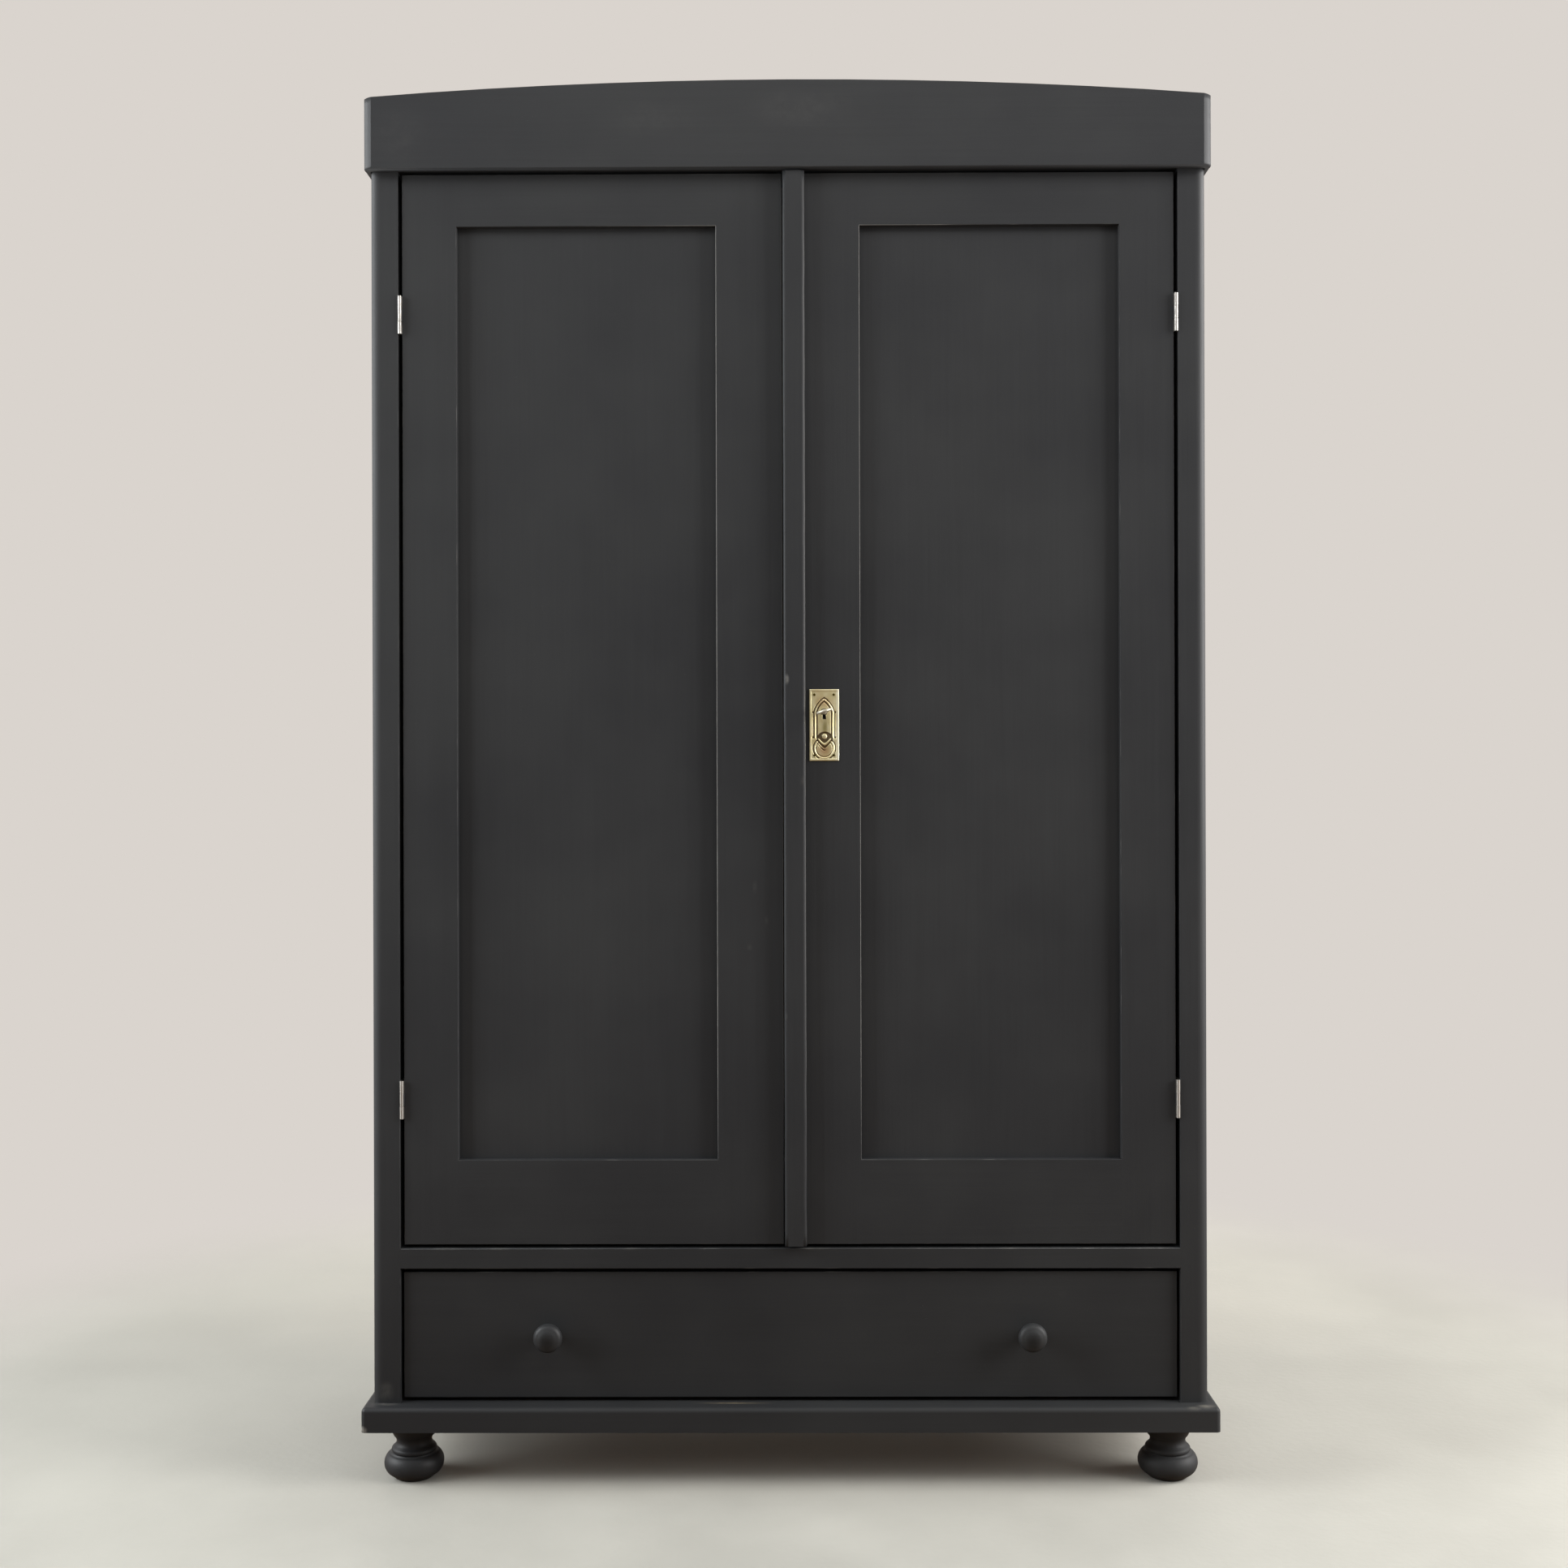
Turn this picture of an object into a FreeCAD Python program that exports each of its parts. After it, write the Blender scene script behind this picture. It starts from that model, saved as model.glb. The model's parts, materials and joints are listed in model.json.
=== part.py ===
import FreeCAD, Part

import math
import os

# A free-standing linen cupboard: a base frame on turned feet, four posts with framed sides, an arched
# crown, a pair of framed doors over shelves, and one deep drawer. All sizes are in millimetres.
# It is drawn with x = 0 at its middle, y = 0 at the front faces of the posts and z = 0 on the floor, and
# each piece is moved back at the end, so that the origin lies under the middle of the whole cupboard.

# Base frame and feet
foot_height = 77.0
foot_inset = 58.5
foot_sole_radius = 26.5
foot_bun_radius = 39.6
foot_bead_radius = 29.9
foot_neck_radius = 23.4
foot_top_radius = 33.0
foot_top_flare = 1.0
foot_sole_flare = 3.0
foot_bun_fall = 6.1
foot_bead_fall = 2.0
foot_cove_depth = 3.5
foot_peg_radius = 13.0
foot_peg_length = 22.0
foot_peg_gap = 0.1
foot_peg_spare = 2.0
base_thickness = 32.0
base_rail_width = 110.0
base_side_overhang = 11.5
base_front_overhang = 22.0
base_round = 6.0
base_tenon_length = 35.0
base_tenon_thickness = 11.0
base_tenon_shoulder = 20.0

# Where the foot's profile turns, as shares of its height
foot_bun_start = 0.058
foot_bun_widest = 0.26
foot_bun_end = 0.429
foot_bead_start = 0.444
foot_bead_widest = 0.49
foot_bead_end = 0.539
foot_cove_start = 0.552
foot_cove_deepest = 0.63
foot_cove_end = 0.727
foot_flare_end = 0.857
foot_edge_start = 0.883

# Posts and framed sides
carcass_width = 1103.0
carcass_depth = 528.0
carcass_height = 1673.0
post_width = 36.5
front_post_depth = 60.0
rear_post_depth = 60.0
post_round = 9.0
stub_length = 15.0
stub_side_shoulder = 8.0
stub_face_shoulder = 15.0
side_rail_thickness = 22.0
side_top_rail_height = 95.0
side_bottom_rail_height = 90.0
side_panel_thickness = 8.0
side_groove_depth = 9.0
side_tenon_length = 25.0
haunch = 12.0
panel_slack = 1.0

# Rails across the front and back
drawer_opening_height = 177.0
drawer_rail_height = 27.0
header_height = 45.0
header_depth = 40.0
door_stop_lip = 15.0
back_top_rail_height = 60.0
back_top_rail_thickness = 22.0
cross_tenon_length = 20.0
cross_tenon_height_shoulder = 6.0
header_tenon_shoulder = 12.0
header_tenon_back_shoulder = 8.0
cross_tenon_face_shoulder = 14.0
thin_tenon_face_shoulder = 5.0

# Crown and roof
crown_front_overhang = 16.0
crown_side_overhang = 5.5
crown_thickness = 22.0
crown_lap = 1.0
crown_end_height = 47.0
crown_rise = 21.0
crown_round = 8.0
roof_thickness = 12.0

# Back, floor and shelves
back_board_thickness = 12.0
back_board_count = 8
back_rebate = 22.0
board_gap = 1.0
board_tongue_length = 6.0
board_tongue_thickness = 4.0
floor_thickness = 14.0
bearer_width = 45.0
shelf_count = 4
shelf_thickness = 18.0
shelf_front_setback = 52.0
shelf_end_gap = 1.0
cleat_width = 35.0
cleat_height = 25.0

# Doors
door_setback = 3.0
door_thickness = 22.0
door_hinge_gap = 5.0
door_top_gap = 4.0
door_bottom_gap = 4.5
door_stop_gap = 0.5
meeting_gap = 3.0
meeting_offset = -6.0
hinge_stile_width = 72.0
meeting_stile_reach = 95.0
door_top_rail_height = 69.0
door_bottom_rail_height = 112.0
door_panel_setback = 10.0
door_panel_thickness = 7.0
door_groove_depth = 9.0
door_tenon_length = 45.0
strip_width = 29.0
strip_lap = 2.0
strip_proud = 13.0
strip_round = 4.0

# Hinges
hinge_height = 50.0
hinge_from_top = 186.0
hinge_from_bottom = 192.0
hinge_axis_proud = 0.5
hinge_leaf_width = 21.0
hinge_leaf_thickness = 1.6
hinge_leaf_let_in = 0.8
hinge_pin_radius = 1.5
hinge_pin_gap = 0.05
knuckle_side_gap = 0.1
knuckle_gap = 0.3

# Lock, key and its plate
key_height = 1021.0
lock_backset = 51.5
lock_width = 78.0
lock_depth = 14.0
lock_below_key = 20.0
lock_above_key = 32.0
lock_wall = 1.6
bolt_setback = 4.0
bolt_thickness = 6.0
bolt_above_key = 6.0
bolt_height = 14.0
bolt_end_inset = 1.0
bolt_length = 71.0
bolt_travel = 9.0
bolt_gap = 0.3
bolt_notch_width = 12.6
stud_radius = 2.0
stud_from_edge = 22.0
shank_radius = 3.0
shank_gap = 0.1
bit_reach = 9.5
bit_width = 6.0
bit_thickness = 2.4
bit_gap = 0.7
key_tilt = 17.0
key_proud = 35.0
bow_width = 21.0
bow_length = 26.0
bow_ring = 3.5
bow_thickness = 3.2
collar_radius = 4.2
collar_length = 3.0
keyhole_radius = 4.5
keyhole_slot_width = 4.6
keyhole_slot_end_gap = 0.3
keyhole_wood_gap = 0.2
plate_width = 39.0
plate_height = 94.5
plate_above_key = 29.8
plate_thickness = 1.2
plate_relief = 0.8
plate_rim = 2.4
plate_oval_width = 27.0
plate_oval_above_key = 19.0
plate_oval_below_key = 36.0
plate_oval_ring = 1.8
plate_boss_radius = 4.2
plate_bow_radius = 17.0
plate_bow_ring = 2.4
keeper_width = 16.0
keeper_edge_inset = 1.0
keeper_depth = 12.0
keeper_margin = 8.0
keeper_gap = 0.6

# Bolt that holds the left door shut behind the header
door_bolt_from_edge = 40.5
door_bolt_width = 10.0
door_bolt_thickness = 4.0
door_bolt_length = 59.0
door_bolt_travel = 14.0
door_bolt_below_header = 3.0
door_bolt_plate_width = 20.0
door_bolt_plate_height = 57.0
door_bolt_plate_thickness = 2.0
door_bolt_plate_drop = 10.0
door_bolt_stand_off = 2.0
door_bolt_gap = 0.3
door_bolt_hole_gap = 1.3
door_bolt_socket_spare = 7.0
door_bolt_knob_radius = 4.0
door_bolt_knob_reach = 8.0
staple_wall = 2.5
staple_height = 8.0
staple_inset = 2.0

# Drawer and what it runs on
drawer_setback = 6.0
drawer_side_gap = 3.5
drawer_top_gap = 5.5
drawer_bottom_gap = 5.5
drawer_front_thickness = 22.0
drawer_front_cover = 6.0
drawer_side_thickness = 14.0
drawer_side_drop = 2.0
drawer_back_drop = 12.0
drawer_rear_gap = 26.0
drawer_bottom_thickness = 8.0
drawer_bottom_height = 8.0
drawer_groove_depth = 6.0
front_tail_count = 4
back_tail_count = 3
tail_share = 0.6
tail_slope = 1.0 / 7.0
runner_gap = 0.3
runner_ledge_width = 25.0
runner_guide_height = 42.0
runner_guide_gap = 0.8
runner_end_gap = 18.0
runner_front = 30.0
stop_width = 50.0
stop_length = 20.0
stop_height = 8.0
stop_place = 200.0
stop_gap = 0.3

# Drawer knobs
knob_place = 318.0
knob_height = 85.0
knob_radius = 19.0
knob_reach = 34.0
knob_foot_radius = 11.0
knob_neck_radius = 8.0
knob_neck_flare = 2.0
knob_peg_radius = 5.0
knob_peg_gap = 0.1

# Where the knob's profile turns, as shares of its reach, and its face's radii, as shares of its radius
knob_neck_at = 0.22
knob_head_start = 0.42
knob_widest_at = 0.7
knob_face_at = 0.93
knob_face_share = 0.72
knob_crown_at = 0.985
knob_crown_share = 0.4

# Heights that several pieces share
base_top = foot_height + base_thickness
carcass_top = base_top + carcass_height
drawer_rail_bottom = base_top + drawer_opening_height
opening_bottom = drawer_rail_bottom + drawer_rail_height
opening_top = carcass_top - header_height
header_bottom = opening_top - door_stop_lip
door_bottom = opening_bottom + door_bottom_gap
door_top = opening_top - door_top_gap
recess_bottom = door_bottom + door_bottom_rail_height
recess_top = door_top - door_top_rail_height
crown_bottom = opening_top - crown_lap
crown_end_top = carcass_top + crown_end_height
floor_top = opening_bottom + floor_thickness

# Distances from the middle, to the right
post_outer = carcass_width / 2
post_inner = post_outer - post_width
side_inner = post_outer - side_rail_thickness
panel_outer = post_outer - (side_rail_thickness - side_panel_thickness) / 2
panel_inner = panel_outer - side_panel_thickness
base_outer = post_outer + base_side_overhang
crown_outer = post_outer + crown_side_overhang
crown_inner = crown_outer - crown_thickness
hinge_axis = post_inner - door_hinge_gap / 2
door_outer = post_inner - door_hinge_gap
recess_outer = door_outer - hinge_stile_width
left_door_edge = meeting_offset - meeting_gap / 2
right_door_edge = meeting_offset + meeting_gap / 2
drawer_outer = post_inner - drawer_side_gap
drawer_inner = drawer_outer - drawer_side_thickness

# Distances back from the front faces of the posts
base_front = -base_front_overhang
foot_front = base_front + foot_inset
foot_rear = carcass_depth - foot_inset
rear_post_front = carcass_depth - rear_post_depth
back_front = carcass_depth - back_board_thickness
door_back = door_setback + door_thickness
door_stop = door_back + door_stop_gap
door_panel_front = door_setback + door_panel_setback
door_panel_back = door_panel_front + door_panel_thickness
hinge_axis_y = -hinge_axis_proud
drawer_front_back = drawer_setback + drawer_front_thickness
drawer_rear = back_front - drawer_rear_gap
drawer_back_front = drawer_rear - drawer_side_thickness
key_front = door_setback - key_proud

# Key, lock and door bolt
key_x = right_door_edge + lock_backset
key_z = key_height
lock_back = door_back + lock_depth
bolt_front = door_back + bolt_setback
bolt_back = bolt_front + bolt_thickness
bolt_low = key_z + bolt_above_key
bolt_high = bolt_low + bolt_height
door_bolt_x = left_door_edge - door_bolt_from_edge
door_bolt_front = door_back + door_bolt_plate_thickness + door_bolt_stand_off
door_bolt_back = door_bolt_front + door_bolt_thickness
door_bolt_top = header_bottom - door_bolt_below_header
door_bolt_plate_top = header_bottom - door_bolt_plate_drop
door_bolt_plate_bottom = door_bolt_plate_top - door_bolt_plate_height

# Drawer heights
drawer_low = base_top + drawer_bottom_gap
drawer_high = drawer_rail_bottom - drawer_top_gap
drawer_side_high = drawer_high - drawer_side_drop
drawer_bottom_low = drawer_low + drawer_bottom_height
drawer_bottom_high = drawer_bottom_low + drawer_bottom_thickness
drawer_back_high = drawer_side_high - drawer_back_drop
knob_z = drawer_low + knob_height

# The foremost point decides how far the drawing moves back to bring its middle over the origin.
foremost = min(key_front, drawer_setback - knob_reach, base_front)
shift_back = -(foremost + carcass_depth) / 2

up = FreeCAD.Vector(0, 0, 1)
back = FreeCAD.Vector(0, 1, 0)
left_to_right = FreeCAD.Vector(1, 0, 0)
middle = FreeCAD.Vector(0, 0, 0)


def block(x, y, z):
    """A box between two x, two y and two z values, in either order."""
    corner = FreeCAD.Vector(min(x), min(y), min(z))
    return Part.makeBox(abs(x[1] - x[0]), abs(y[1] - y[0]), abs(z[1] - z[0]), corner)


def rounded(shape, radius, *places):
    """The shape with the straight edges that lie at the given places rounded over."""
    def lies_at(edge, place):
        box = edge.BoundBox
        spans = {"x": (box.XMin, box.XMax), "y": (box.YMin, box.YMax), "z": (box.ZMin, box.ZMax)}
        return all(max(abs(end - place[axis]) for end in spans[axis]) < 0.01 for axis in place)

    edges = [edge for edge in shape.Edges if any(lies_at(edge, place) for place in places)]
    return shape.makeFillet(radius, edges)


def mirrored(shape):
    """The same piece for the other side."""
    return shape.mirror(middle, left_to_right)


def both_sides(shape):
    """A right-hand piece and its left-hand twin."""
    return [shape, mirrored(shape)]


def drilled_along_y(x, z, radius, y):
    """A round rod along y, to drill with or to add."""
    return Part.makeCylinder(radius, abs(y[1] - y[0]), FreeCAD.Vector(x, min(y), z), back)


def upright_rod(x, y, radius, z):
    """A round rod that stands upright, to drill with or to add."""
    return Part.makeCylinder(radius, abs(z[1] - z[0]), FreeCAD.Vector(x, y, min(z)), up)


def flat_sheet(edges, thickness):
    """A closed outline of edges, made solid by pushing it along a vector."""
    return Part.Face(Part.Wire(edges)).extrude(thickness)


def arc(start, through, end):
    """An arc edge through three points."""
    return Part.Arc(start, through, end).toShape()


def line(start, end):
    """A straight edge."""
    return Part.LineSegment(start, end).toShape()


def turned_curve(start, through, end, cuts):
    """A round stretch of a turned profile, as a few straight cuts between points on its arc."""
    points = Part.Arc(start, through, end).discretize(cuts + 1)
    return [line(first, second) for first, second in zip(points, points[1:])]


def save(name, *shapes):
    """Write one piece, or a group of separate like pieces, to its own file."""
    solids = [solid for shape in shapes for solid in shape.removeSplitter().Solids]
    whole = solids[0] if len(solids) == 1 else Part.Compound(solids)
    whole = whole.copy()
    whole.translate(FreeCAD.Vector(0, shift_back, 0))
    whole.exportStep("parts/" + name + ".step")


# Feet: one turned profile, with a peg into the base
def turned_foot(x, y):
    """A turned bun foot: sole, bun, bead and a coved neck that flares out to meet the base."""
    height = foot_height

    def at(radius, share):
        return FreeCAD.Vector(radius, 0, share * height)

    bun_low = at(foot_sole_radius + foot_sole_flare, foot_bun_start)
    bun_high = at(foot_bun_radius - foot_bun_fall, foot_bun_end)
    bead_low = at(foot_bead_radius - foot_bead_fall, foot_bead_start)
    bead_high = at(foot_bead_radius - foot_bead_fall, foot_bead_end)
    cove_low = at(foot_neck_radius + foot_cove_depth, foot_cove_start)
    cove_high = at(foot_neck_radius + foot_cove_depth, foot_cove_end)
    flare_end = at(foot_top_radius - foot_top_flare, foot_flare_end)
    edge_low = at(foot_top_radius, foot_edge_start)
    edge_high = at(foot_top_radius, 1)
    outline = [line(at(0, 0), at(foot_sole_radius, 0)), line(at(foot_sole_radius, 0), bun_low)]
    outline += turned_curve(bun_low, at(foot_bun_radius, foot_bun_widest), bun_high, 6)
    outline.append(line(bun_high, bead_low))
    outline += turned_curve(bead_low, at(foot_bead_radius, foot_bead_widest), bead_high, 3)
    outline.append(line(bead_high, cove_low))
    outline += turned_curve(cove_low, at(foot_neck_radius, foot_cove_deepest), cove_high, 3)
    outline += [line(cove_high, flare_end), line(flare_end, edge_low), line(edge_low, edge_high)]
    outline += [line(edge_high, at(0, 1)), line(at(0, 1), at(0, 0))]
    foot = Part.Face(Part.Wire(outline)).revolve(middle, up, 360)
    foot = foot.fuse(upright_rod(0, 0, foot_peg_radius - foot_peg_gap, (height, height + foot_peg_length)))
    foot.translate(FreeCAD.Vector(x, y, 0))
    return foot


def foot_places():
    """The x and y of the four feet."""
    foot_x = base_outer - foot_inset
    return [(side * foot_x, y) for y in (foot_front, foot_rear) for side in (-1, 1)]


# Base frame
def base_side_tenon(y):
    """The right-hand side rail's tenon between two y values, also used to cut its mortise."""
    middle_height = foot_height + base_thickness / 2
    half = base_tenon_thickness / 2
    inner = base_outer - base_rail_width
    return block((inner + base_tenon_shoulder, base_outer - base_tenon_shoulder), y,
                 (middle_height - half, middle_height + half))


def base_cross_rail(front, rear, show_edge, tenon_y):
    """The front or back rail of the base, with the mortises of the side rails, posts and feet."""
    rail = block((-base_outer, base_outer), (front, rear), (foot_height, base_top))
    places = [{"z": base_top, "x": base_outer}, {"z": base_top, "x": -base_outer},
              {"x": base_outer, "y": show_edge}, {"x": -base_outer, "y": show_edge}]
    if show_edge == base_front:
        places.append({"z": base_top, "y": show_edge})
    rail = rounded(rail, base_round, *places)
    for tool in both_sides(base_side_tenon(tenon_y)):
        rail = rail.cut(tool)
    return rail


def base_with_holes(rail, foot_y, stub):
    """The rail with a hole for each foot's peg and each post's stub tenon."""
    foot_x = base_outer - foot_inset
    hole_top = foot_height + foot_peg_length + foot_peg_spare
    peg_hole = upright_rod(foot_x, foot_y, foot_peg_radius, (foot_height, hole_top))
    for tool in both_sides(peg_hole) + both_sides(stub):
        rail = rail.cut(tool)
    return rail


def base_front_rail():
    rear = base_front + base_rail_width
    rail = base_cross_rail(base_front, rear, base_front, (rear - base_tenon_length, rear))
    return base_with_holes(rail, foot_front, post_stub(0, front_post_depth))


def base_back_rail():
    front = carcass_depth - base_rail_width
    rail = base_cross_rail(front, carcass_depth, carcass_depth, (front, front + base_tenon_length))
    return base_with_holes(rail, foot_rear, post_stub(rear_post_front, carcass_depth))


def base_side_rail():
    """Right-hand rail between the front and back rails, tenoned into both."""
    front = base_front + base_rail_width
    rear = carcass_depth - base_rail_width
    rail = block((base_outer - base_rail_width, base_outer), (front, rear), (foot_height, base_top))
    rail = rounded(rail, base_round, {"x": base_outer, "z": base_top})
    return rail.fuse(base_side_tenon((front - base_tenon_length, rear + base_tenon_length)))


# Posts
def post_stub(front, rear):
    """The right-hand post's stub tenon, which stands in the base."""
    return block((post_inner + stub_side_shoulder, post_outer - stub_side_shoulder),
                 (front + stub_face_shoulder, rear - stub_face_shoulder),
                 (base_top - stub_length, base_top))


def side_tenon_heights():
    """The z spans of the side frame's lower and upper tenons, clear of the panel groove."""
    lower = (base_top + haunch, base_top + side_bottom_rail_height - side_groove_depth)
    upper = (carcass_top - side_top_rail_height + side_groove_depth, carcass_top - haunch)
    return lower, upper


def side_frame_cuts(y_tenon, y_groove):
    """What the side frame takes out of a right-hand post: two mortises and the panel groove between."""
    lower, upper = side_tenon_heights()
    mortises = [block((panel_inner, panel_outer), y_tenon, span) for span in (lower, upper)]
    return mortises + [block((panel_inner, panel_outer), y_groove, (lower[1], upper[0]))]


def post_front():
    """Right-hand front post, rounded on its outer front edge."""
    post = block((post_inner, post_outer), (0, front_post_depth), (base_top, carcass_top))
    post = rounded(post, post_round, {"x": post_outer, "y": 0})
    post = post.fuse(post_stub(0, front_post_depth))
    tools = side_frame_cuts((front_post_depth - side_tenon_length, front_post_depth),
                            (front_post_depth - side_groove_depth, front_post_depth))
    tools += [drawer_rail_tenon(), header_tenon()]
    tools += [hinge_leaf_recess(z) for z in hinge_heights()]
    for tool in tools:
        post = post.cut(tool)
    return post


def post_rear():
    """Right-hand rear post, rebated for the back boards."""
    post = block((post_inner, post_outer), (rear_post_front, carcass_depth), (base_top, carcass_top))
    post = post.fuse(post_stub(rear_post_front, carcass_depth))
    rebate = block((post_inner, post_inner + back_rebate), (back_front, carcass_depth),
                   (base_top, carcass_top))
    tools = side_frame_cuts((rear_post_front, rear_post_front + side_tenon_length),
                            (rear_post_front, rear_post_front + side_groove_depth))
    for tool in tools + [rebate, back_top_rail_tenon()]:
        post = post.cut(tool)
    return post


# Framed sides
def side_rail(heights, tenon, groove):
    """A right-hand side rail between the posts, with its tenons and the groove for the panel."""
    rail = block((side_inner, post_outer), (front_post_depth, rear_post_front), heights)
    tenon_y = (front_post_depth - side_tenon_length, rear_post_front + side_tenon_length)
    rail = rail.fuse(block((panel_inner, panel_outer), tenon_y, tenon))
    return rail.cut(block((panel_inner, panel_outer), (front_post_depth, rear_post_front), groove))


def side_top_rail():
    bottom = carcass_top - side_top_rail_height
    return side_rail((bottom, carcass_top), side_tenon_heights()[1], (bottom, bottom + side_groove_depth))


def side_bottom_rail():
    top = base_top + side_bottom_rail_height
    return side_rail((base_top, top), side_tenon_heights()[0], (top - side_groove_depth, top))


def side_panel():
    """Right-hand panel, loose in its grooves so that it can shrink and swell."""
    into_groove = side_groove_depth - panel_slack
    return block((panel_inner, panel_outer),
                 (front_post_depth - into_groove, rear_post_front + into_groove),
                 (base_top + side_bottom_rail_height - into_groove,
                  carcass_top - side_top_rail_height + into_groove))


# Rails across the carcass
def cross_tenon(y, z):
    """The right-hand tenon of a rail across the carcass, also used to cut its mortise."""
    return block((post_inner, post_inner + cross_tenon_length), y, z)


def drawer_rail_tenon():
    return cross_tenon((cross_tenon_face_shoulder, front_post_depth - cross_tenon_face_shoulder),
                       (drawer_rail_bottom + cross_tenon_height_shoulder,
                        opening_bottom - cross_tenon_height_shoulder))


def header_tenon():
    return cross_tenon((cross_tenon_face_shoulder, header_depth - header_tenon_back_shoulder),
                       (opening_top + cross_tenon_height_shoulder, carcass_top - header_tenon_shoulder))


def back_top_rail_tenon():
    return cross_tenon((back_front - back_top_rail_thickness + thin_tenon_face_shoulder,
                        back_front - thin_tenon_face_shoulder),
                       (carcass_top - back_top_rail_height + header_tenon_shoulder,
                        carcass_top - header_tenon_shoulder))


def drawer_rail():
    """The rail between the drawer and the doors."""
    rail = block((-post_inner, post_inner), (0, front_post_depth), (drawer_rail_bottom, opening_bottom))
    for tenon in both_sides(drawer_rail_tenon()):
        rail = rail.fuse(tenon)
    return rail


def header_rail():
    """The rail over the doors, rebated so that its lower lip stops them, with a hole for the door bolt."""
    rail = block((-post_inner, post_inner), (0, header_depth), (header_bottom, carcass_top))
    rail = rail.cut(block((-post_inner, post_inner), (0, door_stop), (header_bottom, opening_top)))
    for tenon in both_sides(header_tenon()):
        rail = rail.fuse(tenon)
    half = door_bolt_width / 2 + door_bolt_hole_gap
    socket_top = door_bolt_top + door_bolt_travel + door_bolt_socket_spare
    return rail.cut(block((door_bolt_x - half, door_bolt_x + half),
                          (door_bolt_front - door_bolt_gap, door_bolt_back + door_bolt_gap),
                          (header_bottom, socket_top)))


def back_top_rail():
    """The rail that the back boards and the roof are nailed to."""
    rail = block((-post_inner, post_inner), (back_front - back_top_rail_thickness, back_front),
                 (carcass_top - back_top_rail_height, carcass_top))
    for tenon in both_sides(back_top_rail_tenon()):
        rail = rail.fuse(tenon)
    return rail


# Floor, shelves and back
def cupboard_floor():
    """The floor behind the doors, notched round the posts; its front edge stops the doors."""
    heights = (opening_bottom, floor_top)
    floor = block((-panel_inner, panel_inner), (door_stop, back_front), heights)
    for y in ((door_stop, front_post_depth), (rear_post_front, back_front)):
        for notch in both_sides(block((post_inner, panel_inner), y, heights)):
            floor = floor.cut(notch)
    return floor


def floor_bearers():
    """Bearers between the front and rear posts that carry the floor and keep the drawer from tipping."""
    return both_sides(block((panel_inner - bearer_width, panel_inner), (front_post_depth, rear_post_front),
                            (drawer_rail_bottom, opening_bottom)))


def shelf_undersides():
    """The underside height of each shelf, evenly spaced between the floor and the header."""
    clear = (header_bottom - floor_top - shelf_count * shelf_thickness) / (shelf_count + 1)
    return [floor_top + clear + number * (clear + shelf_thickness) for number in range(shelf_count)]


def shelves():
    half = post_inner - shelf_end_gap
    y = (shelf_front_setback, back_front - shelf_end_gap)
    return [block((-half, half), y, (z, z + shelf_thickness)) for z in shelf_undersides()]


def shelf_cleats():
    """Cleats between the posts that carry the shelf ends."""
    cleats = []
    for z in shelf_undersides():
        cleats += both_sides(block((panel_inner - cleat_width, panel_inner),
                                   (front_post_depth, rear_post_front), (z - cleat_height, z)))
    return cleats


def back_boards():
    """Tongue-and-groove boards, nailed upright into the rebates of the rear posts."""
    half = post_inner + back_rebate
    pitch = 2 * half / back_board_count
    tongue_front = back_front + (back_board_thickness - board_tongue_thickness) / 2
    tongue_y = (tongue_front, tongue_front + board_tongue_thickness)
    heights = (base_top, carcass_top)
    boards = []
    for number in range(back_board_count):
        left = -half + number * pitch
        right = left + pitch
        last = number == back_board_count - 1
        face_right = right if last else right - board_gap
        board = block((left, face_right), (back_front, carcass_depth), heights)
        if number > 0:
            board = board.cut(block((left, left + board_tongue_length), tongue_y, heights))
        if not last:
            board = board.fuse(block((face_right, face_right + board_tongue_length), tongue_y, heights))
        boards.append(board)
    return boards


# Roof and crown
def roof_board():
    return block((-crown_inner, crown_inner), (crown_thickness - crown_front_overhang, carcass_depth),
                 (carcass_top, carcass_top + roof_thickness))


def crown_front():
    """The arched board over the doors, rebated to hang over the header and rounded at its ends."""
    front = -crown_front_overhang
    rear = front + crown_thickness

    def at(x, z):
        return FreeCAD.Vector(x, front, z)

    low_left = at(-crown_outer, crown_bottom)
    low_right = at(crown_outer, crown_bottom)
    high_left = at(-crown_outer, crown_end_top)
    high_right = at(crown_outer, crown_end_top)
    top_middle = at(0, crown_end_top + crown_rise)
    board = flat_sheet([line(low_left, low_right), line(low_right, high_right),
                        arc(high_right, top_middle, high_left), line(high_left, low_left)],
                       back * crown_thickness)
    board = rounded(board, crown_round, {"x": crown_outer, "y": front}, {"x": -crown_outer, "y": front})
    return board.cut(block((-crown_outer, crown_outer), (0, rear), (crown_bottom, carcass_top)))


def crown_side():
    """The right-hand return of the crown, rebated to hang over the side frame."""
    above = block((crown_inner, crown_outer), (crown_thickness - crown_front_overhang, carcass_depth),
                  (carcass_top, crown_end_top))
    lip = block((post_outer, crown_outer), (0, carcass_depth), (crown_bottom, carcass_top))
    return above.fuse(lip)


# Doors. The edge is the stile's free side and the recess is the side that holds the panel.
def door_stile(edge, recess):
    """A door's stile, full height, ploughed for the panel and mortised for both rails."""
    toward_edge = math.copysign(1, edge - recess)
    stile = block((edge, recess), (door_setback, door_back), (door_bottom, door_top))
    groove = block((recess, recess + toward_edge * door_groove_depth), (door_panel_front, door_panel_back),
                   (door_bottom, door_top))
    stile = stile.cut(groove)
    for heights in door_tenon_heights():
        stile = stile.cut(block((recess, recess + toward_edge * door_tenon_length),
                                (door_panel_front, door_panel_back), heights))
    return stile


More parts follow.
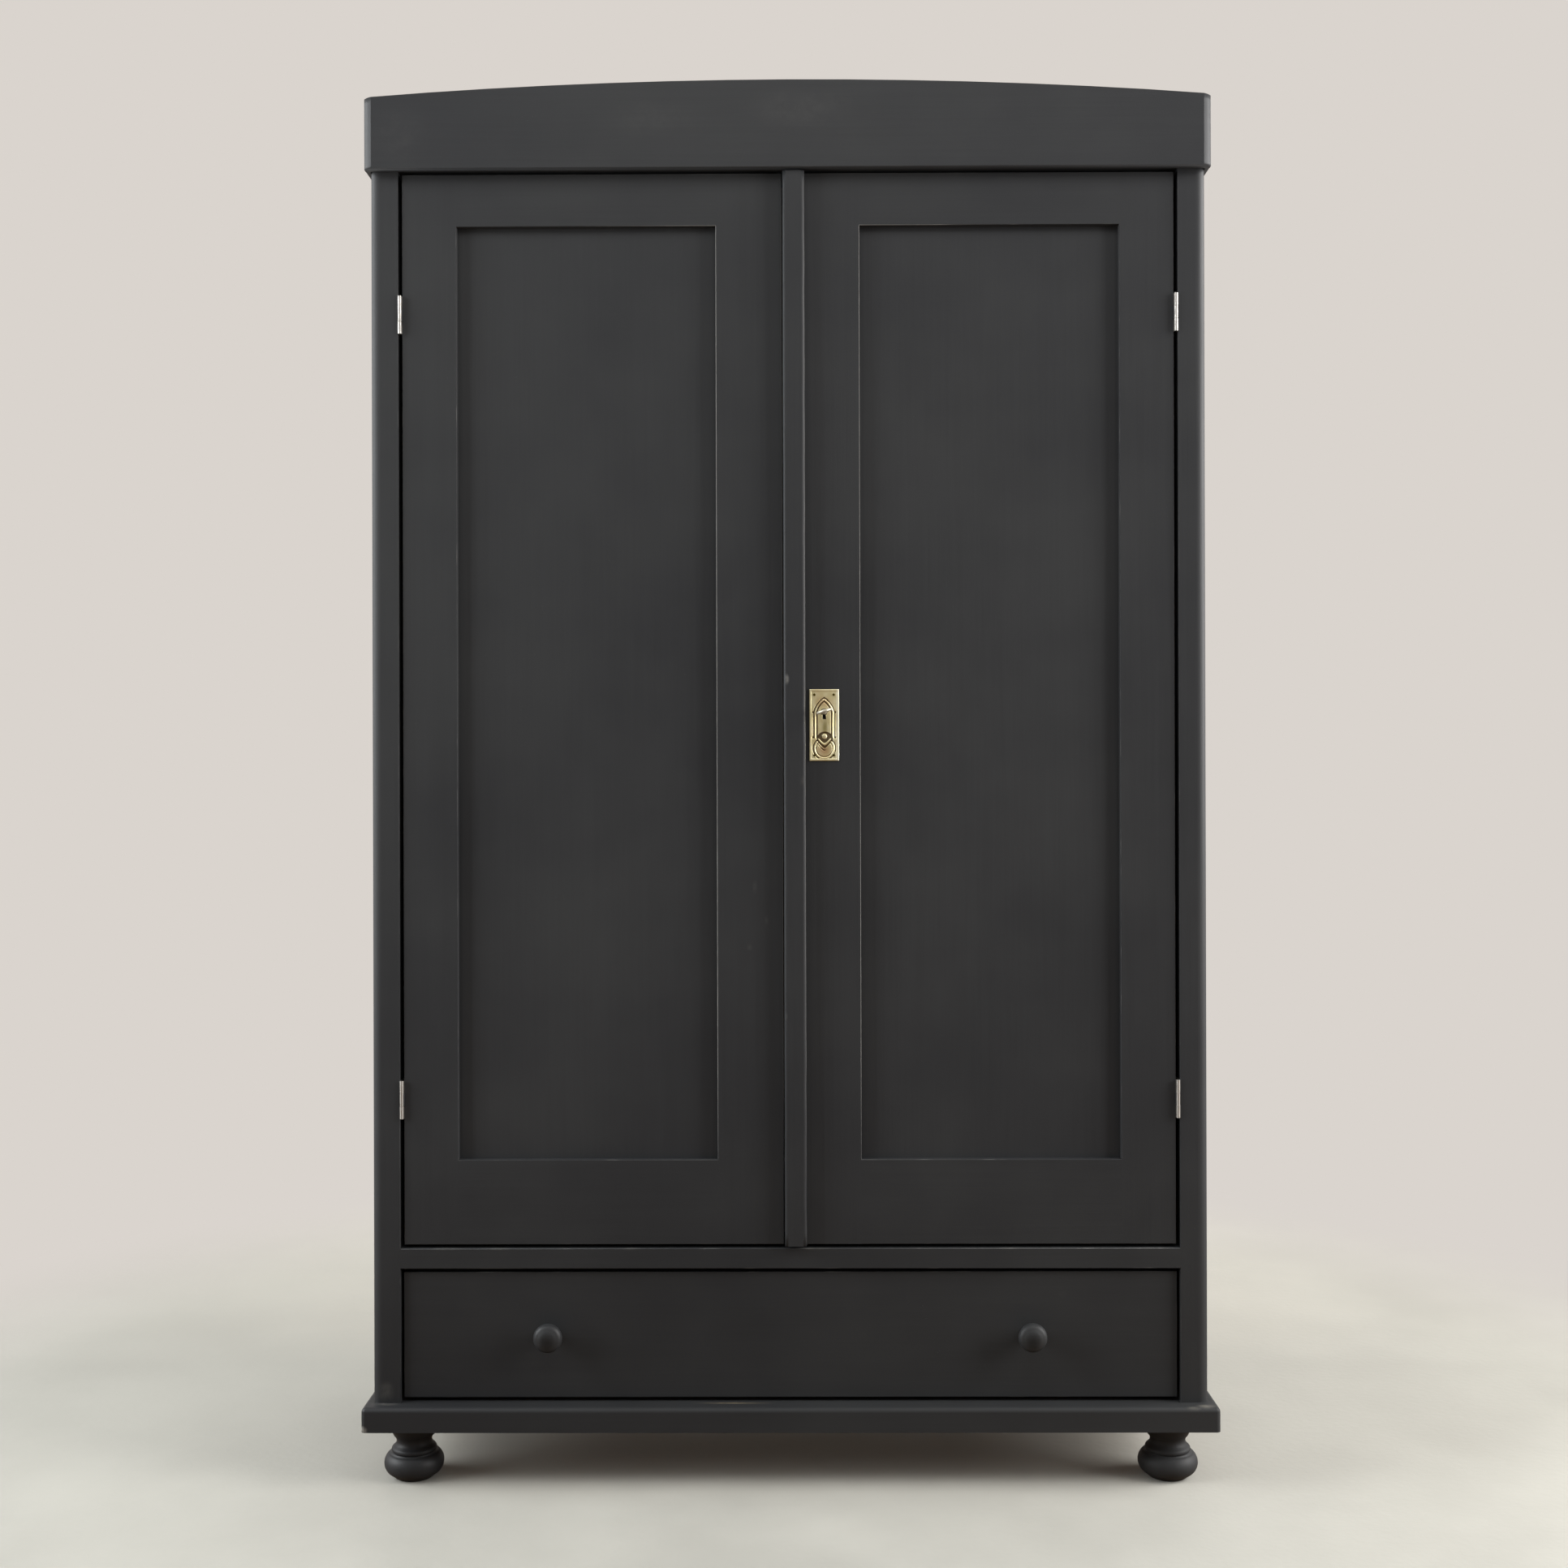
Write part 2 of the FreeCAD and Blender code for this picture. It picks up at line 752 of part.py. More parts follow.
def door_tenon_heights():
    """The z spans of the bottom and top rails' tenons."""
    return ((door_bottom + haunch, recess_bottom - door_groove_depth),
            (recess_top + door_groove_depth, door_top - haunch))


def door_rail(left, right, heights, tenon, haunch_heights, groove):
    """A door's rail: haunched tenons at both ends and a groove for the panel."""
    panel_y = (door_panel_front, door_panel_back)
    rail = block((left, right), (door_setback, door_back), heights)
    rail = rail.fuse(block((left - door_tenon_length, right + door_tenon_length), panel_y, tenon))
    rail = rail.fuse(block((left - door_groove_depth, right + door_groove_depth), panel_y, haunch_heights))
    return rail.cut(block((left, right), panel_y, groove))


def door_top_rail(left, right):
    return door_rail(left, right, (recess_top, door_top), door_tenon_heights()[1],
                     (door_top - haunch, door_top), (recess_top, recess_top + door_groove_depth))


def door_bottom_rail(left, right):
    return door_rail(left, right, (door_bottom, recess_bottom), door_tenon_heights()[0],
                     (door_bottom, door_bottom + haunch),
                     (recess_bottom - door_groove_depth, recess_bottom))


def door_panel(left, right):
    into_groove = door_groove_depth - panel_slack
    return block((left - into_groove, right + into_groove), (door_panel_front, door_panel_back),
                 (recess_bottom - into_groove, recess_top + into_groove))


def hinge_stile():
    """Right-hand hinge stile, with the hinge leaves let into its edge."""
    stile = door_stile(door_outer, recess_outer)
    for z in hinge_heights():
        stile = stile.cut(block((door_outer - hinge_leaf_let_in, door_outer),
                                (door_setback, door_setback + hinge_leaf_width), hinge_span(z)))
    return stile


def keyhole(radius, slot_width, slot_end, y):
    """A keyhole to cut: a round hole with a slot below it for the bit."""
    hole = drilled_along_y(key_x, key_z, radius, y)
    return hole.fuse(block((key_x - slot_width / 2, key_x + slot_width / 2), y, (key_z - slot_end, key_z)))


def right_door_meeting_stile():
    """The stile that holds the lock, with its keyhole."""
    hole = keyhole(keyhole_radius + keyhole_wood_gap, keyhole_slot_width + 2 * keyhole_wood_gap,
                   bit_reach + keyhole_slot_end_gap + keyhole_wood_gap, (door_setback, door_back))
    return door_stile(right_door_edge, meeting_stile_reach).cut(hole)


def cover_strip():
    """The strip planted on the right door's closing edge, lapping the gap, with both front edges rounded."""
    front = door_setback - strip_proud
    left = right_door_edge - strip_lap
    right = left + strip_width
    strip = block((left, right), (front, door_setback), (door_bottom, door_top))
    return rounded(strip, strip_round, {"x": left, "y": front}, {"x": right, "y": front})


# Hinges: three knuckles on a pin, with the frame's leaf above and below the door's
def hinge_heights():
    """The middle height of each of a door's two hinges."""
    return (door_bottom + hinge_from_bottom, door_top - hinge_from_top)


def hinge_span(z):
    return (z - hinge_height / 2, z + hinge_height / 2)


def knuckle_spans(z):
    """The z spans of the lower, middle and upper knuckles."""
    third = (hinge_height - 2 * knuckle_gap) / 3
    starts = [z - hinge_height / 2 + number * (third + knuckle_gap) for number in range(3)]
    return [(start, start + third) for start in starts]


def hinge_leaf_recess(z):
    """What the frame's leaf takes out of the right-hand post."""
    return block((post_inner, post_inner + hinge_leaf_let_in), (0, door_setback + hinge_leaf_width),
                 hinge_span(z))


def hinge_leaf(plate_x, spans, z):
    """A right-hand leaf: a flat plate, and at each of its knuckles a web round the pin."""
    knuckle_radius = door_hinge_gap / 2 - knuckle_side_gap
    leaf = block(plate_x, (door_setback, door_setback + hinge_leaf_width), hinge_span(z))
    for span in spans:
        leaf = leaf.fuse(upright_rod(hinge_axis, hinge_axis_y, knuckle_radius, span))
        leaf = leaf.fuse(block((hinge_axis, max(plate_x, key=lambda x: abs(x - hinge_axis))),
                               (hinge_axis_y, door_setback), span))
    return leaf.cut(upright_rod(hinge_axis, hinge_axis_y, hinge_pin_radius + hinge_pin_gap, hinge_span(z)))


def frame_hinge_leaf(z):
    near = post_inner + hinge_leaf_let_in - hinge_leaf_thickness
    low, _, high = knuckle_spans(z)
    return hinge_leaf((near, near + hinge_leaf_thickness), (low, high), z)


def door_hinge_leaf(z):
    near = door_outer - hinge_leaf_let_in + hinge_leaf_thickness
    return hinge_leaf((near - hinge_leaf_thickness, near), (knuckle_spans(z)[1],), z)


def hinge_pin(z):
    return upright_rod(hinge_axis, hinge_axis_y, hinge_pin_radius, hinge_span(z))


# Lock: a case on the door's inner face, a sliding bolt, and the key that throws it
def lock_case():
    """The case, open towards the wood, with the bolt's slot, the key's rear hole and the guide stud."""
    right = right_door_edge + lock_width
    low = key_z - lock_below_key
    high = key_z + lock_above_key
    inner_back = lock_back - lock_wall
    case = block((right_door_edge, right), (door_back, lock_back), (low, high))
    case = case.cut(block((right_door_edge + lock_wall, right - lock_wall), (door_back, inner_back),
                          (low + lock_wall, high - lock_wall)))
    case = case.cut(block((right_door_edge, right_door_edge + lock_wall),
                          (bolt_front - bolt_gap, bolt_back + bolt_gap),
                          (bolt_low - bolt_gap, bolt_high + bolt_gap)))
    case = case.cut(drilled_along_y(key_x, key_z, shank_radius + shank_gap, (inner_back, lock_back)))
    stud = drilled_along_y(right_door_edge + stud_from_edge, (bolt_low + bolt_high) / 2, stud_radius,
                           (bolt_front - bolt_gap, inner_back))
    return case.fuse(stud)


def lock_bolt():
    """The bolt, drawn back: a notch below for the key's bit and a slot that runs on the stud."""
    left = right_door_edge + bolt_end_inset
    bolt = block((left, left + bolt_length), (bolt_front, bolt_back), (bolt_low, bolt_high))
    notch_middle = key_x + bolt_travel / 2
    bolt = bolt.cut(block((notch_middle - bolt_notch_width / 2, notch_middle + bolt_notch_width / 2),
                          (bolt_front, bolt_back), (bolt_low, key_z + bit_reach + bit_gap)))
    half = stud_radius + bolt_gap
    stud_x = right_door_edge + stud_from_edge
    stud_z = (bolt_low + bolt_high) / 2
    return bolt.cut(block((stud_x - half, stud_x + bolt_travel + half), (bolt_front, bolt_back),
                          (stud_z - half, stud_z + half)))


def key():
    """The key as it stands in the lock, partly turned: an oval bow, a collar, a shank and its bit."""
    def oval(ring):
        edge = Part.Ellipse(middle, bow_length / 2 - ring, bow_width / 2 - ring).toShape()
        return flat_sheet([edge], up * bow_thickness)

    bow = oval(0).cut(oval(bow_ring))
    bow.rotate(middle, up, 90)
    bow.translate(FreeCAD.Vector(0, key_front + bow_length / 2, -bow_thickness / 2))
    bow_end = key_front + bow_length
    shank_end = lock_back - lock_wall / 2
    whole = bow.fuse(drilled_along_y(0, 0, shank_radius, (bow_end - bow_ring / 2, shank_end)))
    whole = whole.fuse(drilled_along_y(0, 0, collar_radius, (bow_end, bow_end + collar_length)))
    whole = whole.fuse(block((0, bit_reach), (bolt_front, bolt_front + bit_width),
                             (-bit_thickness / 2, bit_thickness / 2)))
    whole.rotate(middle, back, -key_tilt)
    whole.translate(FreeCAD.Vector(key_x, 0, key_z))
    return whole


def escutcheon():
    """The pressed plate round the keyhole: a raised rim, a pointed oval, a boss and a bow below it."""
    left = key_x - plate_width / 2
    top = key_z + plate_above_key
    face = door_setback - plate_thickness
    raised = (face - plate_relief, face)
    plate = block((left, left + plate_width), (face, door_setback), (top - plate_height, top))
    rim = block((left, left + plate_width), raised, (top - plate_height, top))
    rim = rim.cut(block((left + plate_rim, left + plate_width - plate_rim), raised,
                        (top - plate_height + plate_rim, top - plate_rim)))
    oval = pointed_oval(0, raised).cut(pointed_oval(plate_oval_ring, raised))
    boss_z = key_z - plate_oval_below_key
    bow_z = boss_z - plate_boss_radius / 2
    boss = drilled_along_y(key_x, boss_z, plate_boss_radius, raised)
    bow = drilled_along_y(key_x, bow_z, plate_bow_radius, raised)
    bow = bow.cut(drilled_along_y(key_x, bow_z, plate_bow_radius - plate_bow_ring, raised))
    bow = bow.common(block((left, left + plate_width), raised, (top - plate_height, boss_z)))
    for part in (rim, oval, boss, bow):
        plate = plate.fuse(part)
    hole = keyhole(keyhole_radius, keyhole_slot_width, bit_reach + keyhole_slot_end_gap,
                   (face - plate_relief, door_setback))
    return plate.cut(hole)


def pointed_oval(inset, y):
    """A pointed oval round the keyhole, of two arcs that meet above and below it."""
    top = FreeCAD.Vector(key_x, y[0], key_z + plate_oval_above_key - 2 * inset)
    bottom = FreeCAD.Vector(key_x, y[0], key_z - plate_oval_below_key + 2 * inset)
    half = plate_oval_width / 2 - inset
    middle_z = (top.z + bottom.z) / 2
    edges = [arc(top, FreeCAD.Vector(key_x + half, y[0], middle_z), bottom),
             arc(bottom, FreeCAD.Vector(key_x - half, y[0], middle_z), top)]
    return flat_sheet(edges, back * (y[1] - y[0]))


def lock_keeper():
    """The keeper on the left door's inner face, hollow where the bolt enters."""
    right = left_door_edge - keeper_edge_inset
    keeper = block((right - keeper_width, right), (door_back, door_back + keeper_depth),
                   (bolt_low - keeper_margin, bolt_high + keeper_margin))
    return keeper.cut(block((left_door_edge - bolt_travel - keeper_gap, right),
                            (bolt_front - keeper_gap, bolt_back + keeper_gap),
                            (bolt_low - keeper_gap, bolt_high + keeper_gap)))


# Bolt on the left door's inner face
def staple(low):
    """A staple over the rod, standing on the plate."""
    half = door_bolt_width / 2 + door_bolt_gap
    plate_back = door_back + door_bolt_plate_thickness
    outer = block((door_bolt_x - half - staple_wall, door_bolt_x + half + staple_wall),
                  (plate_back, door_bolt_back + door_bolt_gap + staple_wall), (low, low + staple_height))
    return outer.cut(block((door_bolt_x - half, door_bolt_x + half),
                           (door_bolt_front - door_bolt_gap, door_bolt_back + door_bolt_gap),
                           (low, low + staple_height)))


def door_bolt_plate():
    """The plate that the door bolt slides on, with its two staples."""
    half = door_bolt_plate_width / 2
    plate = block((door_bolt_x - half, door_bolt_x + half),
                  (door_back, door_back + door_bolt_plate_thickness),
                  (door_bolt_plate_bottom, door_bolt_plate_top))
    for low in (door_bolt_plate_bottom + staple_inset, door_bolt_plate_top - staple_inset - staple_height):
        plate = plate.fuse(staple(low))
    return plate


def door_bolt_rod():
    """The sliding bar, drawn down, with the knob that moves it."""
    half = door_bolt_width / 2
    low = door_bolt_top - door_bolt_length
    bar = block((door_bolt_x - half, door_bolt_x + half), (door_bolt_front, door_bolt_back),
                (low, door_bolt_top))
    knob_middle = (door_bolt_plate_bottom + door_bolt_plate_top) / 2 - door_bolt_travel / 2
    return bar.fuse(drilled_along_y(door_bolt_x, knob_middle, door_bolt_knob_radius,
                                    (door_bolt_back, door_bolt_back + door_bolt_knob_reach)))


# Drawer: half-blind dovetails at the front, through dovetails at the back
def tails(count, span, root, tip):
    """Tails on a right-hand drawer side: count of them over a z span, from their root to their tip."""
    pitch = (span[1] - span[0]) / count
    half_root = pitch * tail_share / 2
    half_tip = half_root + abs(tip - root) * tail_slope
    shapes = []
    for number in range(count):
        z = span[0] + (number + 0.5) * pitch
        corners = [(root, z - half_root), (tip, z - half_tip), (tip, z + half_tip), (root, z + half_root)]
        points = [FreeCAD.Vector(drawer_inner, y, height) for y, height in corners]
        outline = Part.makePolygon(points + points[:1])
        shapes.append(Part.Face(outline).extrude(left_to_right * drawer_side_thickness))
    return shapes


def front_tails():
    return tails(front_tail_count, (drawer_low, drawer_side_high), drawer_front_back,
                 drawer_setback + drawer_front_cover)


def back_tails():
    return tails(back_tail_count, (drawer_bottom_high, drawer_back_high), drawer_back_front, drawer_rear)


def drawer_bottom():
    half = drawer_inner + drawer_groove_depth
    return block((-half, half), (drawer_front_back - drawer_groove_depth, drawer_rear),
                 (drawer_bottom_low, drawer_bottom_high))


def drawer_front():
    """The drawer's front, with blind sockets for the sides' tails and a hole for each knob's peg."""
    thickness = (drawer_setback, drawer_front_back)
    front = block((-drawer_outer, drawer_outer), thickness, (drawer_low, drawer_high))
    tools = [socket for tail in front_tails() for socket in both_sides(tail)]
    tools += both_sides(drilled_along_y(knob_place, knob_z, knob_peg_radius, thickness))
    for tool in tools + [drawer_bottom()]:
        front = front.cut(tool)
    return front


def drawer_back():
    """The back, over the bottom, with through sockets for the sides' tails."""
    board = block((-drawer_outer, drawer_outer), (drawer_back_front, drawer_rear),
                  (drawer_bottom_high, drawer_back_high))
    for tail in back_tails():
        for socket in both_sides(tail):
            board = board.cut(socket)
    return board


def drawer_side():
    """Right-hand side, with tails at both ends and a groove for the bottom."""
    side = block((drawer_inner, drawer_outer), (drawer_front_back, drawer_rear),
                 (drawer_low, drawer_side_high))
    for tail in front_tails():
        side = side.fuse(tail)
    return side.cut(drawer_back()).cut(drawer_bottom())


def drawer_knob():
    """Right-hand turned knob: a foot on the drawer's face, a neck and a domed head, with a peg behind."""
    def at(radius, out):
        return FreeCAD.Vector(radius, drawer_setback - out, 0)

    peg = knob_peg_radius - knob_peg_gap
    peg_end = at(peg, -drawer_front_thickness)
    foot_edge = at(knob_foot_radius, 0)
    neck_top = at(knob_neck_radius + knob_neck_flare, knob_head_start * knob_reach)
    face_edge = at(knob_face_share * knob_radius, knob_face_at * knob_reach)
    crown_edge = at(knob_crown_share * knob_radius, knob_crown_at * knob_reach)
    outline = [line(at(0, -drawer_front_thickness), peg_end), line(peg_end, at(peg, 0))]
    outline.append(line(at(peg, 0), foot_edge))
    outline += turned_curve(foot_edge, at(knob_neck_radius, knob_neck_at * knob_reach), neck_top, 3)
    outline += turned_curve(neck_top, at(knob_radius, knob_widest_at * knob_reach), face_edge, 6)
    outline += [line(face_edge, crown_edge), line(crown_edge, at(0, knob_reach))]
    outline.append(line(at(0, knob_reach), at(0, -drawer_front_thickness)))
    knob = Part.Face(Part.Wire(outline)).revolve(middle, back, 360)
    knob.translate(FreeCAD.Vector(knob_place, 0, knob_z))
    return knob


# What the drawer runs on and stops against
def drawer_runner():
    """Right-hand runner on the base: a low ledge under the drawer's side and a guide beside it."""
    ledge_inner = post_inner - runner_ledge_width
    ledge_top = drawer_low - runner_gap
    ledge = block((ledge_inner, post_inner), (runner_front, carcass_depth - runner_end_gap),
                  (base_top, ledge_top))
    guide = block((drawer_outer + runner_guide_gap, side_inner), (front_post_depth, rear_post_front),
                  (base_top, base_top + runner_guide_height))
    return ledge.fuse(guide)


def drawer_stops():
    """Two blocks on the base that stop the drawer's front flush in its opening."""
    front = drawer_front_back + stop_gap
    return both_sides(block((stop_place - stop_width / 2, stop_place + stop_width / 2),
                            (front, front + stop_length), (base_top, base_top + stop_height)))


os.makedirs("parts", exist_ok=True)

save("base_front_rail", base_front_rail())
save("base_back_rail", base_back_rail())
corners = ("front_left", "front_right", "rear_left", "rear_right")
for corner, (foot_x, foot_y) in zip(corners, foot_places()):
    save("foot_" + corner, turned_foot(foot_x, foot_y))

# Pieces that are drawn on the right and have a twin on the left
paired = {
    "base_{}_rail": base_side_rail(),
    "post_front_{}": post_front(),
    "post_rear_{}": post_rear(),
    "side_top_rail_{}": side_top_rail(),
    "side_bottom_rail_{}": side_bottom_rail(),
    "side_panel_{}": side_panel(),
    "crown_{}": crown_side(),
    "drawer_{}_side": drawer_side(),
    "{}_door_hinge_stile": hinge_stile(),
}
for name, shape in paired.items():
    save(name.format("right"), shape)
    save(name.format("left"), mirrored(shape))

save("drawer_rail", drawer_rail())
save("header_rail", header_rail())
save("back_top_rail", back_top_rail())
save("cupboard_floor", cupboard_floor())
save("floor_bearers", *floor_bearers())
save("shelves", *shelves())
save("shelf_cleats", *shelf_cleats())
save("back_boards", *back_boards())
save("roof_board", roof_board())
save("crown_front", crown_front())

door_spans = {"left": (-recess_outer, -meeting_stile_reach), "right": (meeting_stile_reach, recess_outer)}
for side, (recess_left, recess_right) in door_spans.items():
    save(side + "_door_top_rail", door_top_rail(recess_left, recess_right))
    save(side + "_door_bottom_rail", door_bottom_rail(recess_left, recess_right))
    save(side + "_door_panel", door_panel(recess_left, recess_right))
save("left_door_meeting_stile", door_stile(left_door_edge, -meeting_stile_reach))
save("right_door_meeting_stile", right_door_meeting_stile())
save("cover_strip", cover_strip())

frame_leaves = [frame_hinge_leaf(z) for z in hinge_heights()]
door_leaves = [door_hinge_leaf(z) for z in hinge_heights()]
pins = [hinge_pin(z) for z in hinge_heights()]
save("frame_hinge_leaves", *frame_leaves, *[mirrored(leaf) for leaf in frame_leaves])
save("hinge_pins", *pins, *[mirrored(pin) for pin in pins])
save("right_door_hinge_leaves", *door_leaves)
save("left_door_hinge_leaves", *[mirrored(leaf) for leaf in door_leaves])

save("lock_case", lock_case())
save("lock_bolt", lock_bolt())
save("key", key())
save("escutcheon", escutcheon())
save("lock_keeper", lock_keeper())
save("door_bolt_plate", door_bolt_plate())
save("door_bolt_rod", door_bolt_rod())

save("drawer_front", drawer_front())
save("drawer_back", drawer_back())
save("drawer_bottom", drawer_bottom())
save("drawer_knobs", *both_sides(drawer_knob()))
save("drawer_runners", *both_sides(drawer_runner()))
save("drawer_stops", *drawer_stops())
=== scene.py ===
import json
import math

import bmesh
import bpy
from mathutils import Matrix, Vector, noise
from mathutils.bvhtree import BVHTree

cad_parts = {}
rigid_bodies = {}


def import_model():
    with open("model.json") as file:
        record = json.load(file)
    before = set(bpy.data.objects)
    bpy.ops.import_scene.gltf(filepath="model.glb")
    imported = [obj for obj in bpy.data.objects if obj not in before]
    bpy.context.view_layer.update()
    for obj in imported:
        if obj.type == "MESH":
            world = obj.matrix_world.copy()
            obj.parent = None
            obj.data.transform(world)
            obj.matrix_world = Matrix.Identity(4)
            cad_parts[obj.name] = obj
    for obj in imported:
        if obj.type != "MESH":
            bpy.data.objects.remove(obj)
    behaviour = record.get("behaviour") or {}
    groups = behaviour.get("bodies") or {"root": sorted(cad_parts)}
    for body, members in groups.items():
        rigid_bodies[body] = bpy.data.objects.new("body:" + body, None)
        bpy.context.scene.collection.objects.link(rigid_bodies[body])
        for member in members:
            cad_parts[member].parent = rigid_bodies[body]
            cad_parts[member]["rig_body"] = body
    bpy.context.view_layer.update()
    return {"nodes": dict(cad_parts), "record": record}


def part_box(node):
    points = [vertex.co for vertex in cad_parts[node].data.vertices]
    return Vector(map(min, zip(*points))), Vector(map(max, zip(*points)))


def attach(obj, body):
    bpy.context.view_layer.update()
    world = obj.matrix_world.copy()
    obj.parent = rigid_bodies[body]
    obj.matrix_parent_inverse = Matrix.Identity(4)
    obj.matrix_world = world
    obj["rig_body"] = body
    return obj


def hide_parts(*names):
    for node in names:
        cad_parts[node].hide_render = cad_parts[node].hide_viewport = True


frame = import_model()
nodes = frame["nodes"]

# The view: a camera at half the cupboard's height, straight in front of the doors, with a hair of turn and
# tilt as a hand-held camera has.
def placed(name, data):
    """A new object in the scene."""
    thing = bpy.data.objects.new(name, data)
    bpy.context.scene.collection.objects.link(thing)
    return thing


view = bpy.data.cameras.new("front_view")
view.sensor_width = 36.0
view.lens = 42.11
camera = placed("front_view", view)
camera.location = (0.0079, -2.6692, 0.9251)
camera.rotation_euler = [math.radians(turn) for turn in (90.016, 0.153, 0.333)]
bpy.context.scene.camera = camera
bpy.context.scene.view_settings.view_transform = "Standard"


# The room: a smooth pale floor that fades into a pale surround, large windows at both sides, a skylight in
# front of the cupboard and a low window behind it. The camera's side is the dim one.
class Tone:
    """One value in a tree of nodes. Sums on it add the Math nodes that work them out."""

    def __init__(self, nodes, socket):
        self.nodes = nodes
        self.socket = socket

    def sum(self, operation, *others):
        return self.nodes.add("ShaderNodeMath", {"operation": operation}, dict(enumerate((self, *others))))

    def __add__(self, other):
        return self.sum("ADD", other)

    def __sub__(self, other):
        return self.sum("SUBTRACT", other)

    def __rsub__(self, other):
        return -self + other

    def __mul__(self, other):
        return self.sum("MULTIPLY", other)

    def __truediv__(self, other):
        return self.sum("DIVIDE", other)

    def __pow__(self, other):
        return self.sum("POWER", other)

    def __neg__(self):
        return self.sum("MULTIPLY", -1.0)

    def __abs__(self):
        return self.sum("ABSOLUTE")

    def __floor__(self):
        return self.sum("FLOOR")

    __radd__ = __add__
    __rmul__ = __mul__

    def ramp(self, low, high, at_low=0.0, at_high=1.0):
        """Goes smoothly from at_low to at_high as the value goes from low to high."""
        return self.nodes.add("ShaderNodeMapRange", {"interpolation_type": "SMOOTHSTEP"},
                              {0: self, 1: low, 2: high, 3: at_low, 4: at_high})


def either(*shares):
    """1 where any of the shares is 1."""
    total = shares[0]
    for share in shares[1:]:
        total = total.sum("MAXIMUM", share)
    return total


class Tree:
    """A tree of nodes and a short way to add to it."""

    def __init__(self, tree):
        self.tree = tree
        tree.nodes.clear()

    def add(self, kind, settings=None, inputs=None, output=0):
        """A node of that type: its settings first, then the values or links of its sockets."""
        made = self.tree.nodes.new(kind)
        for key, value in (settings or {}).items():
            setattr(made, key, value)
        for key, value in (inputs or {}).items():
            if isinstance(value, Tone):
                self.tree.links.new(value.socket, made.inputs[key])
            else:
                made.inputs[key].default_value = value
        return Tone(self, made.outputs[output])


class Finish(Tree):
    """A material that is made from place alone, with the few node patterns that this cupboard needs. With a
    world in place of a name it is the world's look."""

    def __init__(self, name, metallic=0.0, specular=0.5):
        for_world = isinstance(name, bpy.types.World)
        self.material = name if for_world else bpy.data.materials.new(name)
        self.material.use_nodes = True
        super().__init__(self.material.node_tree)
        self.out = self.tree.nodes.new("ShaderNodeOutputWorld" if for_world else "ShaderNodeOutputMaterial")
        if not for_world:
            self.shader = self.tree.nodes.new("ShaderNodeBsdfPrincipled")
            self.shader.inputs["Metallic"].default_value = metallic
            self.shader.inputs["Specular IOR Level"].default_value = specular
            self.show(Tone(self, self.shader.outputs[0]))

    def show(self, look):
        self.tree.links.new(look.socket, self.out.inputs[0])

    def place(self):
        return self.add("ShaderNodeTexCoord", output="Object")

    def axes(self):
        """The x, y and z of the place, in metres."""
        split = self.add("ShaderNodeSeparateXYZ", inputs={0: self.place()}).socket.node
        return [Tone(self, split.outputs[number]) for number in range(3)]

    def rays(self, *kinds):
        """1 for rays of each of the kinds, 0 for others."""
        split = self.add("ShaderNodeLightPath").socket.node
        return [Tone(self, split.outputs[kind]) for kind in kinds]

    def stretched(self, scale, shift=(0.0, 0.0, 0.0)):
        scale = scale if isinstance(scale, tuple) else (scale, scale, scale)
        return self.add("ShaderNodeMapping",
                        inputs={"Vector": self.place(), "Scale": scale, "Location": shift})

    def cloud(self, scale, detail=2.0, rough=0.5, shift=(0.0, 0.0, 0.0)):
        """Soft noise from 0 to 1, with so many waves to the metre, one number or one for each axis."""
        return self.add("ShaderNodeTexNoise", inputs={
            "Vector": self.stretched(scale, shift), "Scale": 1.0, "Detail": detail, "Roughness": rough})

    def cells(self, scale):
        return self.add("ShaderNodeTexVoronoi", inputs={"Vector": self.stretched(scale), "Scale": 1.0})

    def near(self, point, reach):
        """1 at a point, fading to 0 at its reach along x, y and z."""
        away = self.add("ShaderNodeVectorMath", {"operation": "SUBTRACT"}, {0: self.place(), 1: point})
        share = self.add("ShaderNodeVectorMath", {"operation": "DIVIDE"}, {0: away, 1: reach})
        gap = self.add("ShaderNodeVectorMath", {"operation": "LENGTH"}, {0: share}, "Value")
        return gap.ramp(1.0, 0.0)

    def mix(self, share, first, second, blend="MIX"):
        """Two colours, the second by its share. A colour of three numbers is one of a paint chart."""
        first, second = [paint_tone(*colour) if isinstance(colour, tuple) and len(colour) == 3 else colour
                         for colour in (first, second)]
        return self.add("ShaderNodeMix", {"data_type": "RGBA", "blend_type": blend},
                        {0: share, 6: first, 7: second}, 2)

    def shade(self, colour, amount):
        """The colour, made lighter or darker by an amount round 1."""
        grey = self.add("ShaderNodeCombineColor", inputs={0: amount, 1: amount, 2: amount})
        return self.mix(1.0, colour, grey, "MULTIPLY")

    def done(self, colour, roughness, height, depth):
        """Puts colour, roughness and a height in metres times depth on the shader."""
        bump = self.add("ShaderNodeBump", inputs={"Strength": 1.0, "Distance": depth, "Height": height})
        for name, value in (("Base Color", colour), ("Roughness", roughness), ("Normal", bump)):
            self.tree.links.new(value.socket, self.shader.inputs[name])
        return self.material


def paint_tone(red, green, blue):
    """A colour as a paint chart gives it, 0 to 255, as the shader reads it."""
    return tuple(((part / 255 + 0.055) / 1.055) ** 2.4 for part in (red, green, blue)) + (1.0,)


def settled(name, mesh):
    """A plain mesh with what was built, which is let go."""
    made = bpy.data.meshes.new(name)
    mesh.to_mesh(made)
    mesh.free()
    return made


surround_tone = paint_tone(218, 212, 206)
floor_tone = paint_tone(171, 169, 161)
floor_in_shade = paint_tone(115, 97, 79)
floor_radius = 14.0
clear_floor = 1.15
faded_floor = 1.75

